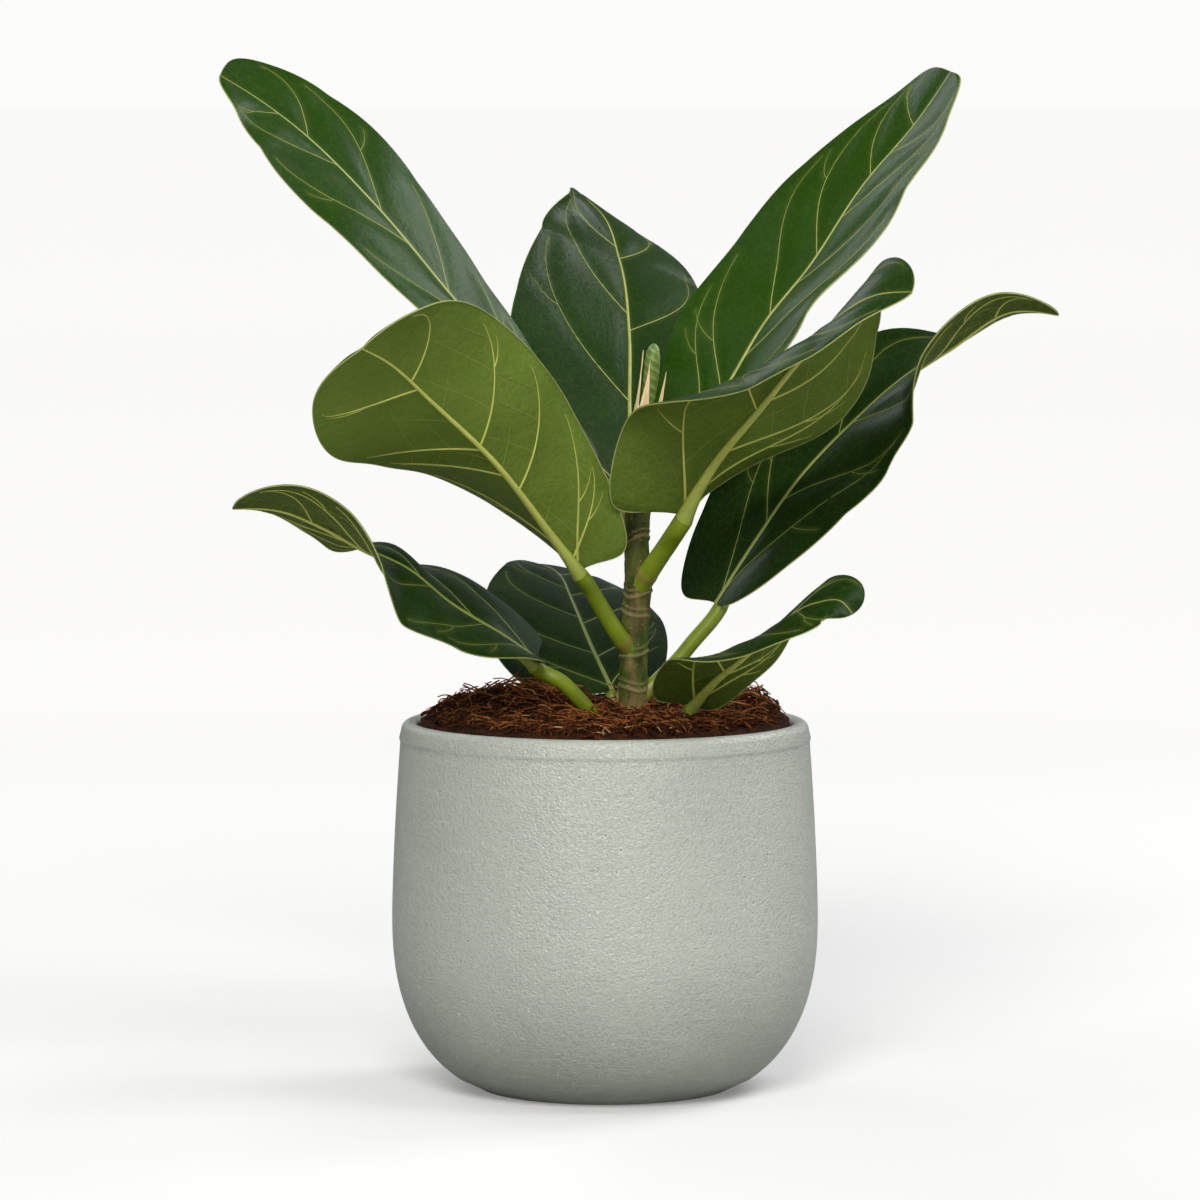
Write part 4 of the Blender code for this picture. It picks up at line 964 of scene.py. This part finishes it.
profile = [(0.0, 0.0), (potLook.flat, 0.0), (potLook.base - potLook.foot, 0.0)]
for k in range(1, potLook.footSteps + 1):
    turn = math.pi / 2 * k / potLook.footSteps
    profile.append((potLook.base - potLook.foot * (1 - math.sin(turn)),
                    potLook.footFlat * potLook.foot * (1 - math.cos(turn))))
foot = potLook.height - potLook.collar
heights = np.linspace(potLook.wallFrom, foot - potLook.groove, potLook.wallSteps)
profile += [(potRadius(z), z) for z in heights]
wallTop = potRadius(foot)
for k in range(potLook.collarSteps + 1):
    step = k / potLook.collarSteps
    out = potLook.collarProud * (3 * step**2 - 2 * step**3)
    profile.append((wallTop + out, foot + potLook.collarRise * step))
lip = wallTop + potLook.collarProud - potLook.lip - potLook.lipLean
for k in range(potLook.lipSteps + 1):
    turn = math.pi * k / potLook.lipSteps
    profile.append((lip + potLook.lip * math.cos(turn),
                    potLook.height - potLook.lip + potLook.lip * math.sin(turn)))
profile += [(potRadius(z) - potLook.wall, z) for z in np.linspace(*potLook.inside)]
profile += [(potLook.floorRadius, potLook.floor), (potLook.flat, potLook.floor), (0.0, potLook.floor)]

lathe, given, result = newTree("latheRound", "GeometryNodeTree", {"Turned": "Geometry"},
                               Profile="Geometry", Sides=64, Radius=0.05, Material="Material")
outline = lathe.out("GeometryNodeMeshToCurve", {"Mesh": given["Profile"]})
swept = lathe.sweep(lathe.circle(given["Sides"], given["Radius"]), outline)
closed = lathe.out("GeometryNodeMergeByDistance", {"Geometry": swept, "Distance": 0.00002})
lathe.deliver(closed, given["Material"], result[0])

turnRadius = 0.05
pot = newMesh("pot_glazed", [(r - turnRadius, -z, 0) for r, z in profile], [],
              [(k, k + 1) for k in range(len(profile) - 1)])
baked(pot, lathe, {"Sides": potLook.sides, "Radius": turnRadius, "Material": glaze})
finish(pot, "pot", slot="pot_glaze")
print("pot made")


# Soil: an uneven bed with coir fibres and chips scattered over it

soilLook = Look(
    edge=0.1455, mound=0.0045, moundPower=4, heapPower=10, bump=0.0010, bumpSize=0.014,
    # heaps: the place of each, its height and its spread
    heaps=((-0.060, 0.012, 0.0056, 0.016), (-0.034, 0.008, 0.0084, 0.018), (-0.012, 0.012, 0.0036, 0.012),
           (-0.018, 0.064, 0.0020, 0.012), (0.034, 0.058, 0.0026, 0.016), (0.044, 0.020, 0.0040, 0.013),
           (0.062, 0.012, 0.0096, 0.012)),
    rings=84, sides=240, gap=0.0003, skirt=0.006, sunk=0.0004,
    # clods: their height, their size, the noise's three numbers, and how low they are at the edge
    clods=0.0016, clodSize=0.0055, clodNoise=(0.8, 2.1, 4), clodsAtEdge=0.3, clodsRise=0.006,
)
soilEdge = potRadius(soilLook.edge) - potLook.wall - 2 * soilLook.gap - potLook.collarProud


def soilTop(x, y):
    reach = math.hypot(x, y)
    mound = soilLook.mound * max(0, 1 - (reach / potLook.belly)**soilLook.moundPower)
    heaps = sum(height * math.exp(-((x - heapX)**2 + (y - heapY)**2) / size**2)
                for heapX, heapY, height, size in soilLook.heaps)
    heaps *= max(0, 1 - (reach / soilEdge)**soilLook.heapPower)
    bump = noise.noise(Vector((x, y, 0)) / soilLook.bumpSize) * soilLook.bump
    return soilLook.edge + mound + heaps + bump


points = []
sides = soilLook.sides
for i in range(soilLook.rings + 1):
    # the last ring is the lower edge of the skirt
    radius = soilEdge * (1 - i % soilLook.rings / soilLook.rings)
    for j in range(sides):
        turn = 2 * math.pi * j / sides
        x, y = radius * math.cos(turn), radius * math.sin(turn)
        clods = noise.fractal(Vector((x, y, 0)) / soilLook.clodSize, *soilLook.clodNoise) * soilLook.clods
        clods *= min(1, soilLook.clodsAtEdge + (soilEdge - radius) / soilLook.clodsRise)
        height = soilTop(x, y) + clods - soilLook.sunk
        points.append((x, y, height if i < soilLook.rings else soilLook.edge - soilLook.skirt))
centre = len(points)
points += [(0, 0, soilTop(0, 0)), (0, 0, soilLook.edge - soilLook.skirt)]
faces = bands(soilLook.rings, sides)
inner, skirt = (soilLook.rings - 1) * sides, soilLook.rings * sides
for j in range(sides):
    k = (j + 1) % sides
    faces += [(inner + j, inner + k, centre), (skirt + j, skirt + k, k, j),
              (skirt + k, skirt + j, centre + 1)]
soil = skinned("soil_bed", points, faces, coirBed)

strandLook = Look(
    points=7, sides=3, foot=-0.0006, tip=0.0004, archFrom=0.4, archTo=0.3, bendBack=-0.7,
    # the bed's least upward turn that still grows strands, and the range of their scale
    upward=0.3, smallest=(0.45, -1.3, 0.6), largest=(1.35, 1.3, 1.4), halfTurn=3.1416,
)
scatter, given, result = newTree(
    "scatterFibres", "GeometryNodeTree", {"Fibres": "Geometry"}, Bed="Geometry", Density=60000.0, Seed=1,
    Length=0.02, Curl=0.4, Lift=0.2, Thickness=0.0003, Lean=0.3, Inner=0.0, Outer=0.07, Material="Material")
flat = scatter.vector("MULTIPLY", scatter.out("GeometryNodeInputPosition"), (1, 1, 0))
reach = scatter.vector("LENGTH", flat, (0, 0, 0), "Value")
facing = scatter.separate(scatter.out("GeometryNodeInputNormal"), "Z")
inside = scatter.math("LESS_THAN", reach, given["Outer"])
outside = scatter.math("GREATER_THAN", reach, given["Inner"])
upward = scatter.math("GREATER_THAN", facing, strandLook.upward)
allowed = scatter.times(upward, scatter.times(inside, outside))
seeds = scatter.add("GeometryNodeDistributePointsOnFaces", {
    "Mesh": given["Bed"], "Density": scatter.times(given["Density"], allowed), "Seed": given["Seed"]}).outputs
# one strand: a short arched curve
half = scatter.times(given["Length"], 0.5)
back = scatter.times(half, -1.0)
bend = scatter.times(half, given["Curl"])
arch = scatter.times(half, given["Lift"])
strand = scatter.out("GeometryNodeCurvePrimitiveBezierSegment", {
    "Resolution": strandLook.points, "Start": scatter.combine(back, 0.0, strandLook.foot),
    "Start Handle": scatter.combine(scatter.times(back, strandLook.archFrom), bend, arch),
    "End Handle": scatter.combine(scatter.times(half, strandLook.archTo),
                                  scatter.times(bend, strandLook.bendBack), arch),
    "End": scatter.combine(half, bend, strandLook.tip)})
ring = scatter.circle(strandLook.sides, given["Thickness"])
strandMesh = scatter.sweep(strand, ring, **{"Fill Caps": True})
lean, leanBack = given["Lean"], scatter.times(given["Lean"], -1.0)


def anyVector(low, high):
    inputs = {"Min": low, "Max": high, "Seed": given["Seed"]}
    return scatter.out("FunctionNodeRandomValue", inputs, data_type="FLOAT_VECTOR")


turned = anyVector(scatter.combine(leanBack, leanBack, -strandLook.halfTurn),
                   scatter.combine(lean, lean, strandLook.halfTurn))
asRotation = scatter.out("FunctionNodeEulerToRotation", {0: turned})
onBed = scatter.out("FunctionNodeRotateRotation", {"Rotation": seeds["Rotation"], "Rotate By": asRotation},
                    rotation_space="LOCAL")
sown = scatter.out("GeometryNodeInstanceOnPoints", {
    "Points": seeds["Points"], "Instance": strandMesh, "Rotation": onBed,
    "Scale": anyVector(strandLook.smallest, strandLook.largest)})
scatter.deliver(sown, given["Material"], result[0])

fibreInputs = ("Density", "Seed", "Length", "Curl", "Lift", "Thickness", "Lean", "Outer", "Material")
fibreLook = {
    "chips": (52000.0, 31, 0.0050, 0.35, 0.3, 0.00075, 0.7, 0.0715, coirDark),
    "fibres_dark": (90000.0, 3, 0.012, 0.55, 0.35, 0.00026, 0.5, 0.068, coirDark),
    "tufts": (34000.0, 17, 0.0095, 0.5, 0.3, 0.00026, 0.6, 0.068, coirDark),
    "fibres_red": (46000.0, 5, 0.015, 0.5, 0.35, 0.00024, 0.5, 0.0665, coirRed),
    "fibres_long": (9000.0, 8, 0.024, 0.4, 0.25, 0.00036, 0.25, 0.061, coirRed),
    "fibres_pale": (9000.0, 13, 0.009, 0.6, 0.4, 0.00028, 0.45, 0.0675, coirPale),
}
for label, values in fibreLook.items():
    bed = linked("soil_" + label, soil.data.copy())
    baked(bed, scatter, {**dict(zip(fibreInputs, values)), "Inner": 0.0})
    finish(bed, slot="soil")
finish(soil, "soil", slot="soil")
print("soil made")


# Bud

budLook = Look(
    floor=0.2623, hollow=0.0008,
    line=((13.6, 0, 262), (16.2, 0, 271), (17.9, 0, 281), (18.9, 0, 290), (19.5, 0, 298)),
    # each scale's direction in degrees, the height of its tip, and its half width in degrees
    scales=((180, 0.2946, 80), (255, 0.2910, 50), (0, 0.2860, 45)), power=2.0, low=0.2670,
    radii=(0.0048, 0.0042), wall=0.0007, tipThin=0.55, splay=0.0016, sides=96, rings=24,
    # fine grooves in the sheath: depth, number, how they waver, and lumps of that in a metre
    groove=0.00012, grooves=17, grooveWaver=3, waverScale=90,
    leafFoot=0.2643, leafTop=0.2972, leafLevels=(0.0, 0.25, 0.5, 0.7, 0.85, 0.94, 0.985),
    leafRadii=(2.2, 2.6, 2.9, 3.1, 2.9, 2.2, 1.1), leafSides=64, leafRows=70, leafEnd=0.995, leafClosed=0.6,
    # the rolled leaf's seam: where it starts, how it winds, its width and its step; and its ribs
    seamAt=0.62, seamWinds=0.25, seamWidth=0.035, seamStep=0.10, rib=0.00012, ribs=3, ribWinds=9,
    ribPale=0.45, ribSharp=6,
)


def budMiddle(height):
    points = np.array(budLook.line) * mm
    return smoothCurve(points, np.array(height), points[:, 2])


def scaleTop(turn):
    best, lean = budLook.low, 0.0
    for k, (direction, tip, width) in enumerate(budLook.scales):
        off = abs((math.degrees(turn) - direction + 180) % 360 - 180)
        height = budLook.low + (tip - budLook.low) * max(0, 1 - off / width)**budLook.power
        if height > best:
            best, lean = height, budLook.splay * (k == len(budLook.scales) - 1)
    return best, lean


sides, steps = budLook.sides, budLook.rings
highest = max(scale[1] for scale in budLook.scales)
points, rises = [], []
for inside in (False, True):
    for i in range(steps + 1):
        share = i / steps
        if inside:
            share = 1 - share
        for j in range(sides):
            turn = 2 * math.pi * j / sides
            top, lean = scaleTop(turn)
            start = budLook.floor + (budLook.hollow if inside else 0)
            height = start + (top - start) * share
            rise = (height - budLook.floor) / (highest - budLook.floor)
            radius = budLook.radii[0] + (budLook.radii[1] - budLook.radii[0]) * rise + lean * share**2
            waver = budLook.grooveWaver * noise.noise(Vector((0, 0, height * budLook.waverScale)))
            radius += budLook.groove * math.sin(turn * budLook.grooves + waver)
            thin = budLook.wall * (1 - budLook.tipThin * share)
            if inside:
                radius -= thin
            elif share == 1:
                radius -= thin / 2
            middle = budMiddle(height)
            points.append((middle[0] + radius * math.cos(turn), middle[1] + radius * math.sin(turn), height))
            rises.append(rise)
faces = bands(2 * steps + 2, sides)
last = (2 * steps + 1) * sides
points += [tuple(budMiddle(budLook.floor)), tuple(budMiddle(budLook.floor + budLook.hollow))]
rises += [0, 0]
for j in range(sides):
    k = (j + 1) % sides
    faces += [(len(points) - 2, k, j), (len(points) - 1, last + j, last + k)]
sheath = skinned("bud_sheath_skin", points, faces, sheathSkin, rise=rises)
finish(sheath, "bud_sheath", slot="bud_sheath")

shares = np.linspace(0, budLook.leafEnd, budLook.leafRows)
heights = budLook.leafFoot + (budLook.leafTop - budLook.leafFoot) * shares
levels, radii = np.array(budLook.leafLevels), np.array(budLook.leafRadii) * mm
radiusAt = smoothCurve(np.column_stack([levels, radii]), np.minimum(shares, levels[-1]), levels)[:, 1]
radiusAt = radiusAt * np.where(shares > levels[-1], budLook.leafClosed, 1)
middle = budMiddle(heights)
sides = budLook.leafSides
points, seams = [], []
for row in range(len(heights)):
    for j in range(sides):
        turn = 2 * math.pi * j / sides
        # the rolled blade ends in a seam that winds down the bud, and its veins show beside it
        wound = (turn / (2 * math.pi) - budLook.seamAt + budLook.seamWinds * shares[row]) % 1
        seam = math.exp(-((wound - 0.5) / budLook.seamWidth)**2)
        ribs = 0.5 + 0.5 * math.sin(2 * math.pi * (wound * budLook.ribs + shares[row] * budLook.ribWinds))
        step = budLook.seamStep * (wound if wound < 0.5 else wound - 1)
        r = radiusAt[row] * (1 + step) + budLook.rib * ribs * (1 - seam)
        x, y = middle[row, 0] + r * math.cos(turn), middle[row, 1] + r * math.sin(turn)
        points.append((x, y, heights[row]))
        seams.append(max(seam, budLook.ribPale * ribs**budLook.ribSharp))
young = skinned("new_leaf_roll", points, bands(budLook.leafRows, sides, capped=True), youngSkin, seam=seams)
finish(young, "new_leaf", slot="new_leaf")
print("bud made")


# Floor, light and camera

studioLook = Look(
    floorColour=(0.37, 0.367, 0.36, 1), floorSeen=(0.74, 0.733, 0.72, 1), floorSize=60.0, glowReach=9.0,
    # how far from a place in front of the pot, in metres, and how bright the floor glows there
    glowFrom=(0.0, -0.35, 0.0),
    glow=((0.2, 0.12), (0.32, 0.14), (0.41, 0.175), (0.63, 0.22), (0.95, 0.325), (1.38, 0.495), (1.94, 0.655),
          (2.3, 0.693), (2.72, 0.72), (3.13, 0.742), (3.6, 0.76), (4.67, 0.785), (8.9, 0.81)),
    # and painted light, a paler patch on the left in front of the pot that lifts the shade cast there: how
    # much, from where to where it grows leftwards, how far back its middle is, and from where to where it
    # ends before and behind that
    patch=0.15, patchLeft=(0.02, -0.15), patchAt=-0.08, patchDepth=(0.05, 0.35),
    glowTint=(1.0, 0.99, 0.972, 1),
    worldColour=(0.95, 0.97, 1.0, 1), worldStrength=0.2, backdrop=(0.975, 0.972, 0.962, 1),
    lamps=(
        # place, size, spread in degrees, power, colour
        ((-0.25, -2.45, 1.95), 1.3, 180, 60.0, (1.0, 0.985, 0.96)),
        ((-0.35, -2.4, 0.7), 0.8, 180, 9.0, (1.0, 0.99, 0.97)),
        ((-1.15, -0.3, 2.08), 1.0, 180, 5.0, (0.98, 0.99, 1.0)),
        ((1.15, -0.4, 2.08), 1.0, 180, 14.0, (0.98, 0.99, 1.0)),
        ((2.1, -1.0, 0.55), 0.8, 180, 6.0, (0.98, 0.99, 1.0)),
        ((-0.9, 1.5, 1.1), 0.9, 70, 0.7, (0.93, 0.97, 1.0)),
        ((1.55, 1.05, 1.55), 1.1, 70, 3.5, (0.95, 0.98, 1.0)),
    ),
    lampAim=(0, 0, 0.2),
    lens=195.0, sensor=36.0, target=(-0.002, 0.0, 0.195), pitch=4.7, distance=2.587, clip=(0.1, 200),
)
reach = studioLook.floorSize
corners = [(-reach, -reach, 0), (reach, -reach, 0), (reach, reach, 0), (-reach, reach, 0)]
floor = newMesh("studio_floor", corners, [(0, 1, 2, 3)])
# the floor is brighter where the camera sees it than for the light it throws back, and it
# brightens into the backdrop
floorPaint, nodes, shader = newMaterial("floorPaint", 0.7)
seen = nodes.add("ShaderNodeLightPath").outputs["Is Camera Ray"]
nodes.coat(shader, nodes.mix(seen, studioLook.floorColour, studioLook.floorSeen))
place = nodes.place()
away = nodes.vector("DISTANCE", place, studioLook.glowFrom, "Value")
ramp = nodes.add("ShaderNodeValToRGB", {0: nodes.remap(away, 0, studioLook.glowReach)})
while len(ramp.color_ramp.elements) < len(studioLook.glow):
    ramp.color_ramp.elements.new(0.5)
for stop, (distance, level) in zip(ramp.color_ramp.elements, studioLook.glow):
    stop.position = distance / studioLook.glowReach
    stop.color = [level * part for part in studioLook.glowTint[:3]] + [1]
# painted light: a paler glowing patch on the floor at the left, in front of the pot, that lifts the shade
# cast there
behind = nodes.math("ABSOLUTE", nodes.less(nodes.separate(place, "Y"), studioLook.patchAt))
patch = nodes.times(nodes.remap(nodes.separate(place, "X"), *studioLook.patchLeft, 0.0, studioLook.patch),
                    nodes.remap(behind, *studioLook.patchDepth, 1.0, 0.0))
glow = nodes.mix(patch, ramp.outputs["Color"], studioLook.glowTint, blend="ADD")
nodes.feed(shader["Emission Color"], nodes.mix(seen, (0, 0, 0, 1), glow))
shader["Emission Strength"].default_value = 1.0
floor.data.materials.append(floorPaint)

world = bpy.data.worlds.new("studio")
scene.world = world
world.use_nodes = True
nodes = Nodes(world.node_tree)
light = world.node_tree.nodes["Background"]
light.inputs["Color"].default_value = studioLook.worldColour
light.inputs["Strength"].default_value = studioLook.worldStrength
backdrop = nodes.add("ShaderNodeBackground", {"Color": studioLook.backdrop, "Strength": 1.0})
seen = nodes.add("ShaderNodeLightPath").outputs["Is Camera Ray"]
joined = nodes.add("ShaderNodeMixShader", {0: seen, 1: light.outputs[0], 2: backdrop.outputs[0]})
nodes.feed(world.node_tree.nodes["World Output"].inputs["Surface"], joined.outputs[0])
for number, (where, size, spread, power, colour) in enumerate(studioLook.lamps):
    lamp = bpy.data.lights.new("lamp%d" % number, "AREA")
    lamp.shape = "DISK"
    lamp.size, lamp.energy, lamp.color, lamp.spread = size, power, colour, math.radians(spread)
    holder = linked("lamp%d" % number, lamp)
    holder.location = where
    aim = Vector(studioLook.lampAim) - Vector(where)
    holder.rotation_euler = aim.to_track_quat("-Z", "Y").to_euler()
    holder.visible_camera = False
pitch = math.radians(studioLook.pitch)
lens = bpy.data.cameras.new("camera")
lens.lens, lens.sensor_width = studioLook.lens, studioLook.sensor
lens.clip_start, lens.clip_end = studioLook.clip
camera = linked("camera", lens)
ahead = Vector((0, math.cos(pitch), -math.sin(pitch)))
camera.location = Vector(studioLook.target) - studioLook.distance * ahead
camera.rotation_euler = (math.pi / 2 - pitch, 0, 0)
scene.camera = camera
scene.view_settings.view_transform = "Standard"
print("studio made")
